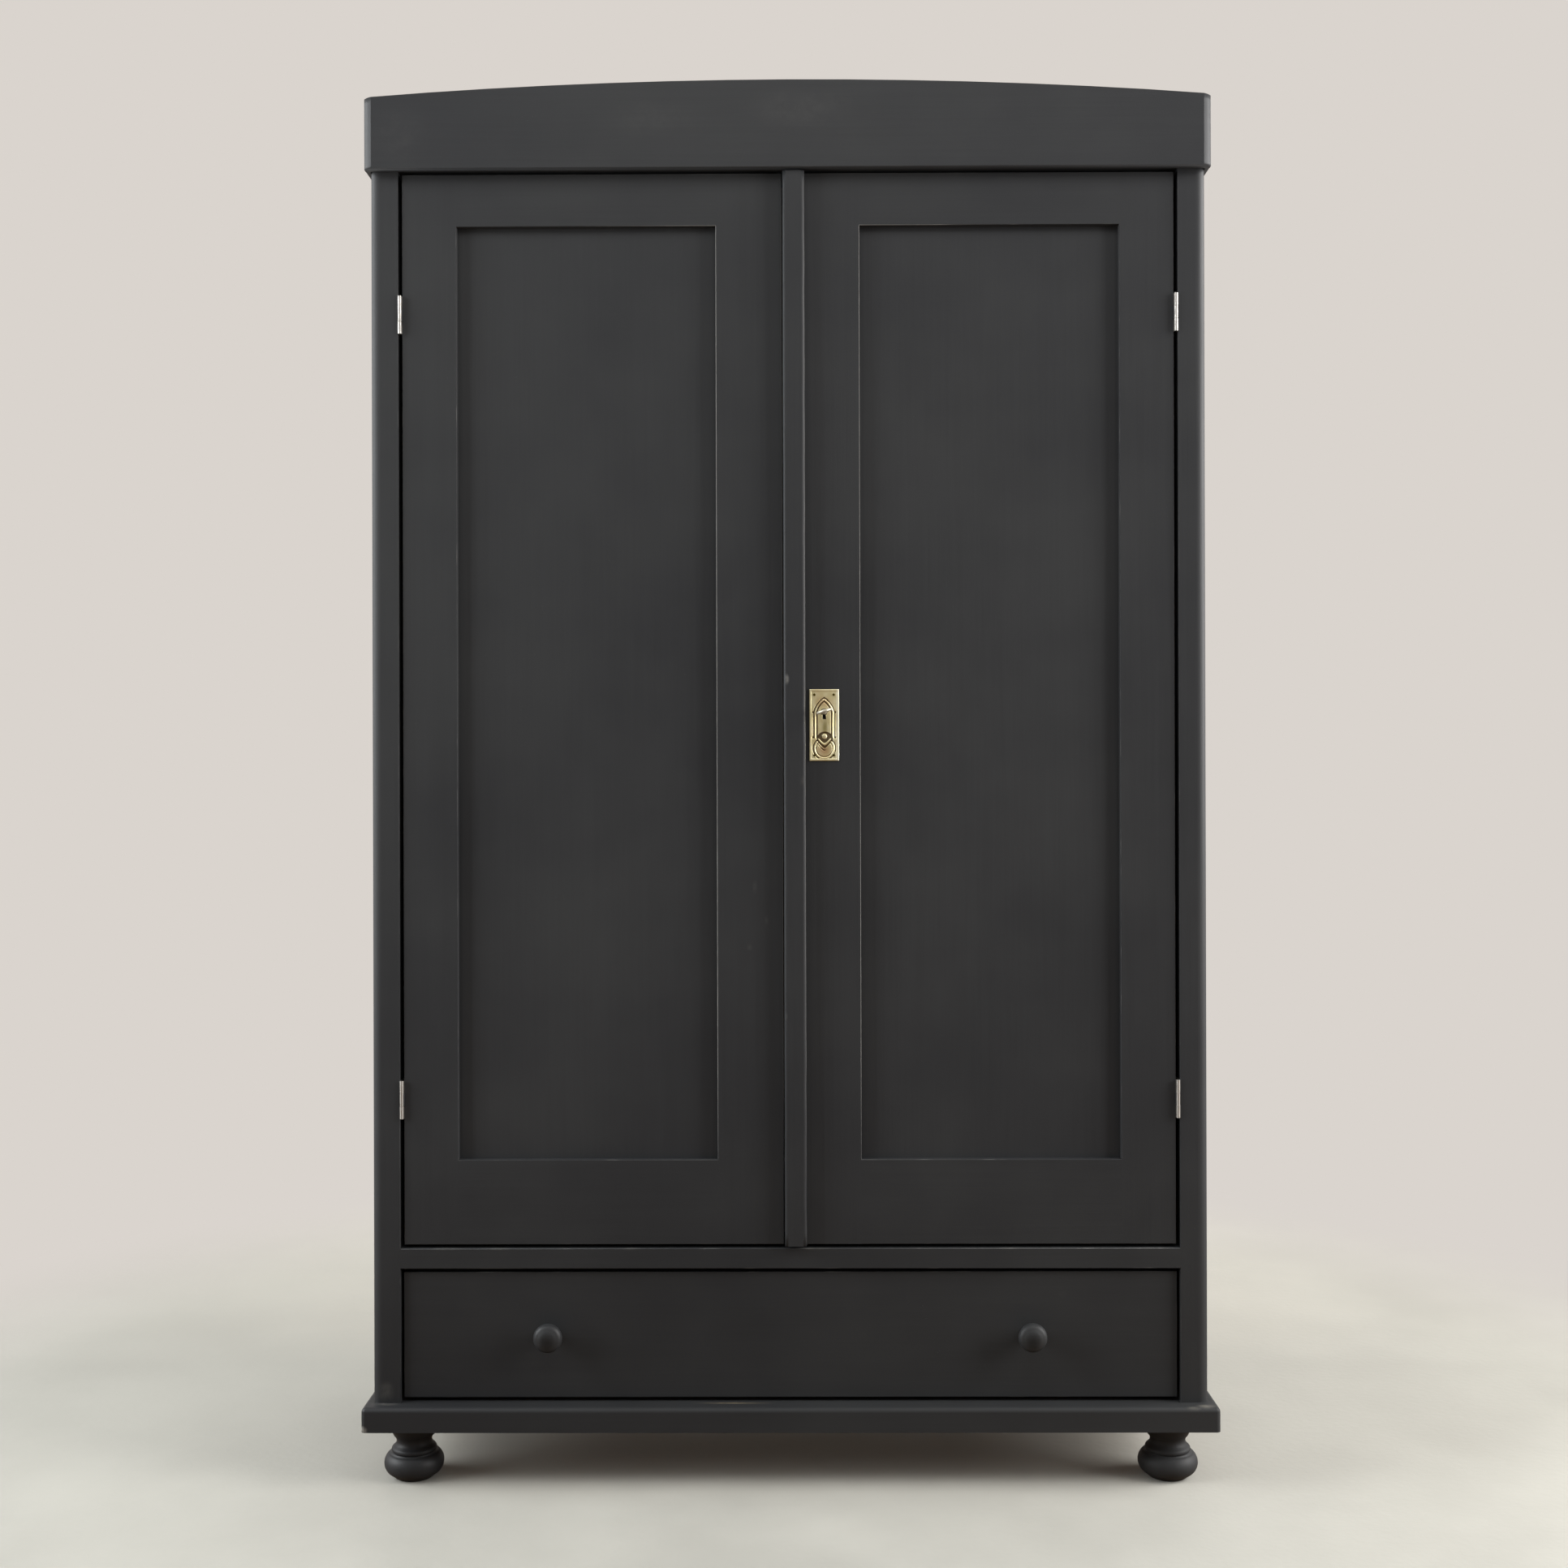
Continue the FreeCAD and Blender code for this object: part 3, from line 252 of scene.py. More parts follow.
ground = Finish("pale_concrete", specular=0.3)
seen_directly, seen_in_gloss = ground.rays("Is Camera Ray", "Is Glossy Ray")
ground_y = ground.axes()[1]
far = ground.add("ShaderNodeVectorMath", {"operation": "LENGTH"}, {0: ground.place()}, "Value")
trowelled = ground.cloud(2.5, 5.0, 0.6)
ground_colour = ground.mix(seen_directly, floor_in_shade, floor_tone)
ground_colour = ground.shade(ground_colour, trowelled.ramp(0.3, 0.7, 0.93, 1.05))
ground.done(ground_colour, trowelled.ramp(0.3, 0.7, 0.55, 0.75), ground.cloud(90, 4.0), 0.0004)
glow = ground.add("ShaderNodeEmission", inputs={"Color": surround_tone, "Strength": 1.0})
faded = far.ramp(clear_floor, faded_floor) * either(seen_directly, seen_in_gloss * ground_y.ramp(-0.6, 0.4))
lit = Tone(ground, ground.shader.outputs[0])
ground.show(ground.add("ShaderNodeMixShader", inputs={0: faded, 1: lit, 2: glow}))

mesh = bmesh.new()
bmesh.ops.create_circle(mesh, cap_ends=True, segments=96, radius=floor_radius)
floor = placed("floor", settled("floor", mesh))
floor.data.materials.append(ground.material)

dim_side = 0.40
ambient_strength = 0.16
ambient_tone = (1.0, 0.99, 0.98, 1.0)
bpy.context.scene.world = bpy.data.worlds.new("surround")
sky = Finish(bpy.context.scene.world)
direct, glossy, through_glass = sky.rays("Is Camera Ray", "Is Glossy Ray", "Is Transmission Ray")
behind = sky.axes()[1].ramp(-0.75, 0.2, dim_side, 1.0)
sky_strength = either(direct, behind)
seen_sky = sky.add("ShaderNodeBackground", inputs={"Color": surround_tone, "Strength": sky_strength})
ambient = sky.add("ShaderNodeBackground", inputs={"Color": ambient_tone, "Strength": ambient_strength})
sky.show(sky.add("ShaderNodeMixShader", inputs={0: either(direct, glossy, through_glass), 1: ambient,
                                                2: seen_sky}))

# The back window leaves no gloss, which would whiten the top of the base beside the posts.
for name, location, aim, width, height, watts, colour in (
        ("left_window", (-3.1, -0.75, 1.85), (0.0, -0.55, 1.1), 2.4, 2.3, 178, (0.95, 0.98, 1.0)),
        ("right_window", (3.1, -0.75, 1.85), (0.0, -0.55, 1.1), 2.4, 2.3, 222, (1.0, 0.99, 0.98)),
        ("skylight", (0.0, -2.0, 3.2), (0.0, -0.25, 1.3), 3.2, 1.5, 27, (1.0, 1.0, 1.0)),
        ("back_window", (0.0, 2.7, 0.75), (0.0, 0.3, 0.5), 3.0, 1.3, 80, (1.0, 0.97, 0.93))):
    lamp = bpy.data.lights.new(name, "AREA")
    lamp.shape = "RECTANGLE"
    lamp.size = width
    lamp.size_y = height
    lamp.energy = watts
    lamp.color = colour
    light = placed(name, lamp)
    light.location = location
    light.rotation_euler = (Vector(aim) - Vector(location)).to_track_quat("-Z", "Y").to_euler()
    light.visible_glossy = name != "back_window"


# Base frame: four pine boards laid flat, the side ones tenoned into the front and back ones, rounded over
# on the edges that show, and painted charcoal on the outside. The underside and the opening stay bare.
def piece(name, mesh, material, body, slot, *stands_for):
    """A finished piece on its body, in its finish, in place of the CAD nodes that it stands for."""
    if isinstance(mesh, bmesh.types.BMesh):
        mesh = settled(name, mesh)
    mesh.materials.clear()
    mesh.materials.append(material)
    thing = placed(name, mesh)
    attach(thing, body)
    if stands_for:
        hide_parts(*stands_for)


touch = 0.0001
neighbours = {}


def lies_on_another(node, point):
    """Whether a point of a piece lies on another piece of the same body, so that no arris shows there."""
    if node not in neighbours:
        neighbours[node] = []
        low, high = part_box(node)
        for other, thing in nodes.items():
            other_low, other_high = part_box(other)
            apart = any(other_low[axis] > high[axis] + touch or other_high[axis] < low[axis] - touch
                        for axis in range(3))
            if other != node and not apart and thing["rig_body"] == nodes[node]["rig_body"]:
                mesh = bmesh.new()
                mesh.from_mesh(thing.data)
                neighbours[node].append(BVHTree.FromBMesh(mesh))
                mesh.free()
    return any(tree.find_nearest(point, touch)[0] is not None for tree in neighbours[node])


def eased(node, ease, shortest=0.006, rounds=3, cuts=()):
    """A merged copy of a CAD piece with its long free arrises taken off, and marked for the wear and the
    painted highlight on them.
    The cuts, each an axis and a place on it, end an arris where another piece meets it flush."""
    mesh = bmesh.new()
    mesh.from_mesh(nodes[node].data)
    bmesh.ops.remove_doubles(mesh, verts=mesh.verts, dist=2e-6)
    bmesh.ops.dissolve_limit(mesh, angle_limit=math.radians(0.5), verts=mesh.verts, edges=mesh.edges)
    for axis, place in cuts:
        across = Vector([float(letter == axis) for letter in "xyz"])
        bmesh.ops.bisect_plane(mesh, geom=mesh.verts[:] + mesh.edges[:] + mesh.faces[:],
                               plane_co=across * place, plane_no=across)
    arris = [edge for edge in mesh.edges if edge.is_manifold and edge.is_convex
             and edge.calc_face_angle() > math.radians(40) and edge.calc_length() > shortest
             and not lies_on_another(node, (edge.verts[0].co + edge.verts[1].co) / 2)]
    wear_and_highlight = mesh.faces.layers.float.new("arris")
    cut = bmesh.ops.bevel(mesh, geom=arris, offset=ease, segments=rounds, profile=0.5, affect="EDGES",
                          clamp_overlap=True)
    for face in cut["faces"]:
        face[wear_and_highlight] = 1.0
        face.smooth = True
    return mesh


def eased_piece(node, material, slot, ease=0.0008, shortest=0.006, rounds=3, cuts=()):
    """The piece that takes a CAD node's place, with eased arrises."""
    mesh = eased(node, ease, shortest, rounds, cuts)
    piece("eased_" + node, mesh, material, nodes[node]["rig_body"], slot, node)


grain_axes = {"x": (0, 1, 2), "y": (1, 0, 2), "z": (2, 0, 1)}
ring_width = 0.0036
paint_dark = paint_tone(45, 46, 48)
paint_light = paint_tone(52, 53, 54)


def grain_scale(along, lengthwise, across):
    """Waves to the metre along the grain and across it, as an x, y, z scale."""
    return tuple(lengthwise if axis == along else across for axis in "xyz")


def pine_grain(finish, along, pith, apart=None):
    """Aged pine: growth rings round a pith beside the board, fibres, a few knots, handling dirt.
    Apart is the axis and the pitch at which separate boards of one group lie beside each other."""
    place = finish.axes()
    across = [place[number] for number in grain_axes[along][1:]]
    shift = 0.0
    if apart:
        number = math.floor(place["xyz".index(apart[0])] / apart[1])
        shift = (number * 12.9898).sum("SINE") * 0.35
    length = place[grain_axes[along][0]] + shift * 9.0
    drift, spots = [finish.add("ShaderNodeCombineXYZ", inputs={
        0: length * lengthwise, 1: across[0] * crosswise, 2: across[1] * crosswise})
        for lengthwise, crosswise in ((1.3, 5.0), (4.2, 6.0))]
    bend = finish.add("ShaderNodeTexNoise", inputs={"Vector": drift, "Scale": 1.0, "Detail": 2.0})
    knotty = finish.add("ShaderNodeTexVoronoi", inputs={"Vector": spots, "Scale": 1.0}).ramp(0.2, 0.02)
    first = across[0] - pith[0] + shift * 0.2
    second = across[1] - pith[1]
    radius = (first * first + second * second) ** 0.5
    rings = (radius + bend * 0.03 + knotty * 0.012) / ring_width
    late = (rings - math.floor(rings)) ** 2.4
    fibre = finish.cloud(grain_scale(along, 14.0, 900.0), 3.0, 0.6)
    tone = finish.cloud(grain_scale(along, 1.4, 9.0), 3.0)
    dirt = finish.cloud(4.0, 4.0, 0.62).ramp(0.52, 0.8)
    colour = finish.mix(tone.ramp(0.3, 0.7), (0.40, 0.245, 0.115, 1.0), (0.50, 0.325, 0.165, 1.0))
    knot_edge = knotty.ramp(0.60, 0.68) * knotty.ramp(0.80, 0.70)
    for share, stain in ((late * 0.62, (0.215, 0.098, 0.036, 1.0)),
                         (knotty.ramp(0.66, 0.74) * 0.85, (0.15, 0.062, 0.024, 1.0)),
                         (knot_edge * 0.7, (0.06, 0.026, 0.012, 1.0))):
        colour = finish.mix(share, colour, stain)
    colour = finish.shade(colour, fibre.ramp(0.25, 0.75, 0.86, 1.1))
    colour = finish.mix(dirt * 0.35, colour, (0.12, 0.085, 0.055, 1.0))
    roughness = fibre.ramp(0.3, 0.7, 0.5, 0.66)
    return colour, roughness, fibre * 0.6 + late * 0.5


def charcoal_paint(finish, along, marks=(), strokes=True):
    """Eggshell charcoal paint, laid on with a brush along the grain: soft patches, strokes, dust specks,
    and arrises rubbed lighter where hands and brooms reach them. Painted shade makes it darker towards the
    floor and painted light makes it paler at the top; near the middle of the front the lighter arrises are
    also a painted highlight."""
    x, y, z = finish.axes()
    patches = finish.cloud(2.6, 4.0, 0.6)
    stroke = finish.cloud(grain_scale(along, 5.0, 210.0), 4.0, 0.55)
    roller = finish.cloud(700.0, 2.0)
    speck = finish.cells(210.0).ramp(0.085, 0.045)
    speck = speck * finish.cloud(23.0, 2.0, 0.5, (3.1, 0.0, 0.0)).ramp(0.60, 0.74)
    colour = finish.mix(patches.ramp(0.3, 0.7), paint_dark, paint_light)
    # Painted shade: darker towards the floor. Painted light: paler at the top, on the crown.
    colour = finish.shade(colour, stroke.ramp(0.25, 0.75, 0.965, 1.035) * z.ramp(0.12, 0.55, 0.73, 1.0)
                          * z.ramp(1.68, 1.76, 1.0, 1.09))
    colour = finish.mix(speck * 0.4, colour, (112, 110, 105))
    rub = finish.cloud(16.0, 4.0, 0.6)
    # Lighter arrises: wear from hands and brooms, and near the middle of the front also a painted highlight.
    handled_and_highlit = abs(x).ramp(0.30, 0.10) * z.ramp(0.38, 0.60) * z.ramp(1.78, 1.6)
    arris = finish.add("ShaderNodeAttribute", {"attribute_name": "arris"}, output="Fac")
    bare = arris * (handled_and_highlit * 0.8 + rub.ramp(0.5, 0.75) * 0.35)
    colour = finish.mix(bare.sum("MINIMUM", 1.0), colour, (132, 131, 128))
    roughness = patches.ramp(0.3, 0.7, 0.46, 0.56) + stroke * 0.06
    for point, reach, share, tone in marks:
        mottled = finish.cloud(70.0, 4.0, 0.6).ramp(0.3, 0.68, 0.3, 1.0)
        colour = finish.mix(finish.near(point, reach) * mottled * share, colour, tone)
    if strokes:
        return colour, roughness, stroke * 0.55 + roller * 0.25 + patches * 0.4
    return colour, roughness, roller * 0.4 + patches * 0.3


def joinery(name, along, pith=None, painted=None, marks=(), apart=None):
    """Pine, with charcoal paint where painted says. With no pith it is paint all over, with no painted it
    is bare. Apart says how separate boards lie in it, marks where the paint is stained or rubbed."""
    finish = Finish(name, specular=0.24)
    if pith is None:
        return finish.done(*charcoal_paint(finish, along, marks), 0.00022)
    if painted is None:
        return finish.done(*pine_grain(finish, along, pith, apart), 0.00016)
    wood = pine_grain(finish, along, pith, apart)
    paint = charcoal_paint(finish, along, marks)
    wander = finish.cloud(60.0, 3.0) - 0.5
    cover = painted(*finish.axes(), wander * 0.006)
    colour = finish.mix(cover, wood[0], paint[0])
    roughness = wood[1] + (paint[1] - wood[1]) * cover
    height = wood[2] + (paint[2] - wood[2]) * cover
    return finish.done(colour, roughness, height, 0.0002)


brush_line = 0.0006


def past(value, edge):
    """1 beyond an edge, 0 before it, with the soft line that a brush leaves."""
    return value.ramp(edge - brush_line, edge + brush_line)


base_low, base_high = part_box("base_front_rail")
base_round = 0.009
plinth_dust = [((-0.5345, -0.252, base_high.z), (0.024, 0.009, 0.006), 0.35, (110, 108, 102)),
               ((0.545, -0.262, base_high.z), (0.016, 0.008, 0.006), 0.5, (128, 124, 114)),
               ((0.528, -0.268, base_high.z), (0.012, 0.006, 0.006), 0.4, (120, 116, 106)),
               ((-0.560, -0.268, base_low.z + 0.003), (0.007, 0.012, 0.007), 1.0, (176, 172, 164)),
               ((-0.075, -0.249, base_high.z), (0.062, 0.004, 0.004), 0.5, (134, 122, 98))]


def base_painted(x, y, z, wander):
    outside = either(past(abs(x) + wander, 0.545), past(-y + wander, 0.2))
    not_under = either(past(z, base_low.z + 0.0012), past(abs(x) + wander, base_high.x - base_round),
                       past(-y + wander, -base_low.y - base_round))
    return outside * not_under


inner_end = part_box("base_left_rail")[1].x
for node, along in (("base_front_rail", "x"), ("base_back_rail", "x"),
                    ("base_left_rail", "y"), ("base_right_rail", "y")):
    cuts = [("x", side * inner_end) for side in (-1, 1)] if along == "x" else ()
    base_finish = joinery("painted_" + node, along, (0.31, 0.02), base_painted, plinth_dust)
    eased_piece(node, base_finish, "painted_wood", 0.0009, cuts=cuts)


# Feet: four turned pine bun feet, each with a flat sole, a bun, a bead and a hollow neck under a flared
# top. They are painted, and their pegs are glued into the base.
def turned(profile, place, turn, cuts=56, sharp=38):
    """A closed turning of a (radius, height) profile, stood on its place and turned as asked. Corners of
    more than so many degrees stay sharp."""
    mesh = bmesh.new()
    rings = []
    for radius, height in profile:
        if radius < 1e-6:
            rings.append([mesh.verts.new((0.0, 0.0, height))])
        else:
            rings.append([mesh.verts.new((radius * math.cos(angle), radius * math.sin(angle), height))
                          for angle in (2 * math.pi * step / cuts for step in range(cuts))])
    for low, high in zip(rings, rings[1:]):
        for step in range(cuts):
            after = (step + 1) % cuts
            corners = [low[step % len(low)], low[after % len(low)], high[after % len(high)],
                       high[step % len(high)]]
            corners = [corner for number, corner in enumerate(corners) if corner not in corners[:number]]
            mesh.faces.new(corners).smooth = True
    for edge in mesh.edges:
        if edge.is_manifold and edge.calc_face_angle() > math.radians(sharp):
            edge.smooth = False
    bmesh.ops.transform(mesh, matrix=Matrix.Translation(place) @ turn, verts=mesh.verts)
    bmesh.ops.recalc_face_normals(mesh, faces=mesh.faces)
    return mesh


def swept(start, through, end, cuts):
    """Points on the arc through three (radius, height) points, both ends included."""
    (ax, ay), (bx, by), (cx, cy) = start, through, end
    twice = 2 * (ax * (by - cy) + bx * (cy - ay) + cx * (ay - by))
    squares = [x * x + y * y for x, y in (start, through, end)]
    middle_x = (squares[0] * (by - cy) + squares[1] * (cy - ay) + squares[2] * (ay - by)) / twice
    middle_y = (squares[0] * (cx - bx) + squares[1] * (ax - cx) + squares[2] * (bx - ax)) / twice
    radius = math.hypot(ax - middle_x, ay - middle_y)
    angles = [math.atan2(y - middle_y, x - middle_x) for x, y in (start, through, end)]
    sweep = (angles[2] - angles[0]) % (2 * math.pi)
    if (angles[1] - angles[0]) % (2 * math.pi) > sweep:
        sweep -= 2 * math.pi
    return [(middle_x + radius * math.cos(angles[0] + sweep * step / cuts),
             middle_y + radius * math.sin(angles[0] + sweep * step / cuts)) for step in range(cuts + 1)]


foot_height = base_low.z
peg_top = foot_height + 0.022
foot_profile = [(0.0, 0.0), (0.0245, 0.0), (0.0265, 0.0015)]
for foot_cuts, *arc in ((16, (0.0295, 0.058), (0.0396, 0.26), (0.0335, 0.429)),
                        (8, (0.0279, 0.444), (0.0299, 0.49), (0.0279, 0.539)),
                        (10, (0.0269, 0.552), (0.0234, 0.63), (0.0269, 0.727))):
    foot_profile += swept(*[(radius, share * foot_height) for radius, share in arc], foot_cuts)
foot_profile += [(radius, share * foot_height) for radius, share in
                 ((0.0316, 0.85), (0.0329, 0.883), (0.033, 0.9), (0.033, 1.0), (0.0129, 1.0))]
foot_profile += [(0.0129, peg_top), (0.0, peg_top)]
foot_finish = joinery("painted_foot", "z", marks=[
    ((x, y, 0.0), (0.045, 0.045, 0.03), 0.2, (92, 89, 82))
    for x in (-0.5045, 0.5045) for y in (-0.2125, 0.2225)])
for corner in ("front_left", "front_right", "rear_left", "rear_right"):
    node = "foot_" + corner
    low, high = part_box(node)
    stand = Vector(((low.x + high.x) / 2, (low.y + high.y) / 2, 0.0))
    piece("turned_" + node, turned(foot_profile, stand, Matrix.Identity(4), sharp=70), foot_finish, "root",
          "painted_wood", node)


# Posts and framed sides: pine posts, rounded on the front outer edge, with rails tenoned between them and
# a loose panel in the grooves. The outside and the front edge are painted, the inside is bare.
def shell_painted(x, y, z, wander):
    return either(past(abs(x) + wander, 0.541), past(-y + wander, 0.221))


post_dust = [((-0.5345, -0.246, 0.124), (0.014, 0.010, 0.018), 0.3, (108, 107, 102))]
shell_upright = joinery("painted_upright", "z", (0.62, 0.33), shell_painted, post_dust)
shell_lengthways = joinery("painted_lengthways", "y", (0.49, 0.9), shell_painted)
side_joints = [("z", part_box("side_bottom_rail_left")[1].z), ("z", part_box("side_top_rail_left")[0].z)]
front_joints = [("z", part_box("drawer_rail")[0].z), ("z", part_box("drawer_rail")[1].z),
                ("z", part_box("header_rail")[0].z)]
post_low, post_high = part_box("post_front_right")
post_round = 0.009
post_band = 0.013


def drawn_out(mesh, low, high, made, wanted, flat=0.0):
    """Draws the rounded front corners of a piece out sideways, as a plane leaves them, to the wanted width,
    and flattens them by a share."""
    for vert in mesh.verts:
        out = abs(vert.co.x) - high.x + made
        forward = low.y + made - vert.co.y
        if out > -1e-5 and forward > -1e-5:
            turned = max(math.atan2(out, forward), 0.0)
            kept = 1.0 + flat * (1.0 / (math.sin(turned) + math.cos(turned)) - 1.0)
            vert.co.x = math.copysign(high.x - (made - out * kept) * wanted / made, vert.co.x)
            vert.co.y = low.y + made - forward * kept


for side in ("left", "right"):
    mesh = eased("post_front_" + side, 0.0006, cuts=side_joints + front_joints)
    drawn_out(mesh, post_low, post_high, post_round, post_band)
    piece("eased_post_front_" + side, mesh, shell_upright, "root", "painted_wood", "post_front_" + side)
    eased_piece("post_rear_" + side, shell_upright, "painted_wood", cuts=side_joints)
    eased_piece("side_panel_" + side, shell_upright, "painted_wood")
    for node in ("side_top_rail_", "side_bottom_rail_"):
        eased_piece(node + side, shell_lengthways, "painted_wood")


# Rails across: the drawer rail and the header at the front, the rail that the back boards are nailed to,
# and the bearers, all pine, with paint only where the front shows.
rail_marks = [((x, -0.2475, 0.3135), (reach, 0.006, 0.004), 0.4, (96, 95, 90)) for x, reach in
              ((-0.455, 0.03), (-0.385, 0.022), (-0.21, 0.02), (0.03, 0.03), (0.29, 0.022))]
rail_finish = joinery("painted_rail", "x", (0.12, 0.35),
                      lambda x, y, z, wander: past(-y + wander, 0.219), rail_marks)
bare_across = joinery("bare_rail", "x", (0.33, 1.9))
bare_lengthways = joinery("bare_bearer", "y", (0.62, 0.2))
eased_piece("drawer_rail", rail_finish, "painted_wood", 0.0010)
eased_piece("header_rail", rail_finish, "painted_wood")
eased_piece("back_top_rail", bare_across, "bare_pine")
eased_piece("floor_bearers", bare_lengthways, "bare_pine")


# Floor and shelves: wide pine boards, planed by hand, the shelves loose on cleats between the posts.
shelf_low, shelf_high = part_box("shelves")
shelf_thickness = 0.018
shelf_pitch = (shelf_high.z - shelf_low.z - shelf_thickness) / 3
floor_finish = joinery("bare_floor", "x", (0.55, 0.20),
                       lambda x, y, z, wander: past(-y + wander * 2, 0.216))
shelf_finish = joinery("bare_shelf", "x", (-0.38, 0.4), apart=("z", shelf_pitch))
eased_piece("cupboard_floor", floor_finish, "bare_pine")
eased_piece("shelves", shelf_finish, "bare_pine", 0.0012)
eased_piece("shelf_cleats", bare_lengthways, "bare_pine")


# Back: tongued and grooved pine boards, nailed upright into the rebates of the posts with cut nails.
back_low, back_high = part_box("back_boards")
board_count = 8
board_pitch = (back_high.x - back_low.x) / board_count
back_finish = joinery("bare_back_board", "z", (0.09, 0.36), apart=("x", board_pitch))
nail_proud = 0.00015
mesh = eased("back_boards", 0.0006)
for vert in mesh.verts:
    vert.co.y = min(vert.co.y, back_high.y - nail_proud)
piece("eased_back_boards", mesh, back_finish, "root", "bare_pine", "back_boards")


def fastener_tree(name, sides, slotted):
    """A node tree that sets a nail or screw head at each vertex, facing as the vertex's facing says."""
    tree = bpy.data.node_groups.new(name, "GeometryNodeTree")
    face = tree.interface
    face.new_socket("Spots", in_out="INPUT", socket_type="NodeSocketGeometry")
    for label in ("Head radius", "Head height", "Slot width"):
        face.new_socket(label, in_out="INPUT", socket_type="NodeSocketFloat")
    face.new_socket("Seed", in_out="INPUT", socket_type="NodeSocketInt").default_value = 3
    face.new_socket("Finish", in_out="INPUT", socket_type="NodeSocketMaterial")
    face.new_socket("Heads", in_out="OUTPUT", socket_type="NodeSocketGeometry")
    heads = Tree(tree)
    add = heads.add
    given = {socket.name: Tone(heads, socket) for socket in tree.nodes.new("NodeGroupInput").outputs}
    radius, height = given["Head radius"], given["Head height"]
    shape = add("GeometryNodeMeshCone", inputs={"Vertices": sides, "Radius Top": radius * 0.84,
                                                "Radius Bottom": radius, "Depth": height})
    if slotted:
        size = add("ShaderNodeCombineXYZ", inputs={0: radius * 3.0, 1: given["Slot width"], 2: height})
        slot_box = add("GeometryNodeMeshCube", inputs={"Size": size})
        raised = add("ShaderNodeCombineXYZ", inputs={2: height * 0.55})
        slot_box = add("GeometryNodeTransform", inputs={"Geometry": slot_box, "Translation": raised})
        shape = add("GeometryNodeMeshBoolean", {"operation": "DIFFERENCE", "solver": "EXACT"},
                    {"Mesh 1": shape, "Mesh 2": slot_box})
    facing = add("GeometryNodeInputNamedAttribute", {"data_type": "FLOAT_VECTOR"}, {"Name": "facing"})
    turn = add("FunctionNodeAlignRotationToVector", {"axis": "Z"}, {"Vector": facing})
    spin = add("FunctionNodeRandomValue", {"data_type": "FLOAT"},
               {"Min": -3.1, "Max": 3.1, "Seed": given["Seed"]}, "Value")
    about = add("ShaderNodeCombineXYZ", inputs={2: spin})
    turn = add("FunctionNodeRotateRotation", {"rotation_space": "LOCAL"}, {"Rotation": turn, 1: about})
    dots = add("GeometryNodeMeshToPoints", inputs={"Mesh": given["Spots"]})
    row = add("GeometryNodeInstanceOnPoints", inputs={"Points": dots, "Instance": shape, "Rotation": turn})
    row = add("GeometryNodeRealizeInstances", inputs={"Geometry": row})
    row = add("GeometryNodeSetMaterial", inputs={"Geometry": row, "Material": given["Finish"]})
    tree.links.new(row.socket, tree.nodes.new("NodeGroupOutput").inputs[0])
    return tree


def set_fasteners(name, tree, spots, sizes, material, body, slot):
    """Nail or screw heads at the spots, each a place and a direction it faces, as one plain mesh."""
    base = bpy.data.meshes.new(name + "_spots")
    base.from_pydata([place for place, _ in spots], [], [])
    facing = base.attributes.new("facing", "FLOAT_VECTOR", "POINT")
    facing.data.foreach_set("vector", [part for _, direction in spots for part in direction])
    holder = placed(name + "_spots", base)
    modifier = holder.modifiers.new("fasteners", "NODES")
    modifier.node_group = tree
    values = {**sizes, "Finish": material}
    for item in tree.interface.items_tree:
        if item.in_out == "INPUT" and item.name in values:
            modifier[item.identifier] = values[item.name]
    ready = holder.evaluated_get(bpy.context.evaluated_depsgraph_get())
    heads = bpy.data.meshes.new_from_object(ready)
    holder.modifiers.remove(modifier)
    bpy.data.objects.remove(holder)
    heads.name = name
    piece(name, heads, material, body, slot)


def metal(name, tone, dark_tone, roughness, brushed=0.2, tarnish=0.4, painted=None):
    """Worn metal: a polished tone, a duller one in patches and pits, and fine scratches. Where painted
    says, the charcoal paint has gone over it."""
    finish = Finish(name, metallic=1.0)
    patches = finish.cloud(120.0, 4.0, 0.6).ramp(0.4, 0.72)
    scratches = finish.cloud((2600.0, 2600.0, 160.0), 2.0)
    pits = finish.cells(900.0).ramp(0.2, 0.08)
    colour = finish.mix(patches * tarnish, tone, dark_tone)
    colour = finish.mix(pits * tarnish * 0.6, colour, dark_tone)
    roughness = patches * 0.16 + scratches * brushed + roughness
    if painted:
        cover = painted(*finish.axes())
        colour = finish.mix(cover, colour, paint_dark)
        roughness = roughness + (0.48 - roughness) * cover
        bright = 1.0 - cover
        finish.tree.links.new(bright.socket, finish.shader.inputs["Metallic"])
    return finish.done(colour, roughness, scratches * 0.4 + pits * -0.3 + patches * 0.2, 0.00008)


backward = (0.0, 1.0, 0.0)
nail_iron = metal("nail_iron", (92, 84, 76), (58, 40, 30), 0.5, tarnish=0.8)
nail_heads = fastener_tree("cut_nail_heads", 6, False)
nail_height = 0.0012
nail_y = back_high.y - nail_height
nail_rows = (back_low.z + 0.034, 1.731, 1.765)
rebate_x = 0.531
nail_spots = []
for number in range(board_count):
    for share in (0.28, 0.72):
        x = back_low.x + (number + share) * board_pitch
        for z in nail_rows:
            jitter = noise.noise(Vector((x * 40, z * 31, 0.5))) * 0.004
            nail_spots.append(((x + jitter, nail_y, z + jitter), backward))
for side in (-1, 1):
    for number in range(9):
        nail_spots.append(((side * rebate_x, nail_y, 0.24 + number * 0.175), backward))
set_fasteners("back_nails", nail_heads, nail_spots, {"Head radius": 0.0026, "Head height": nail_height},
              nail_iron, "root", "grey_steel")


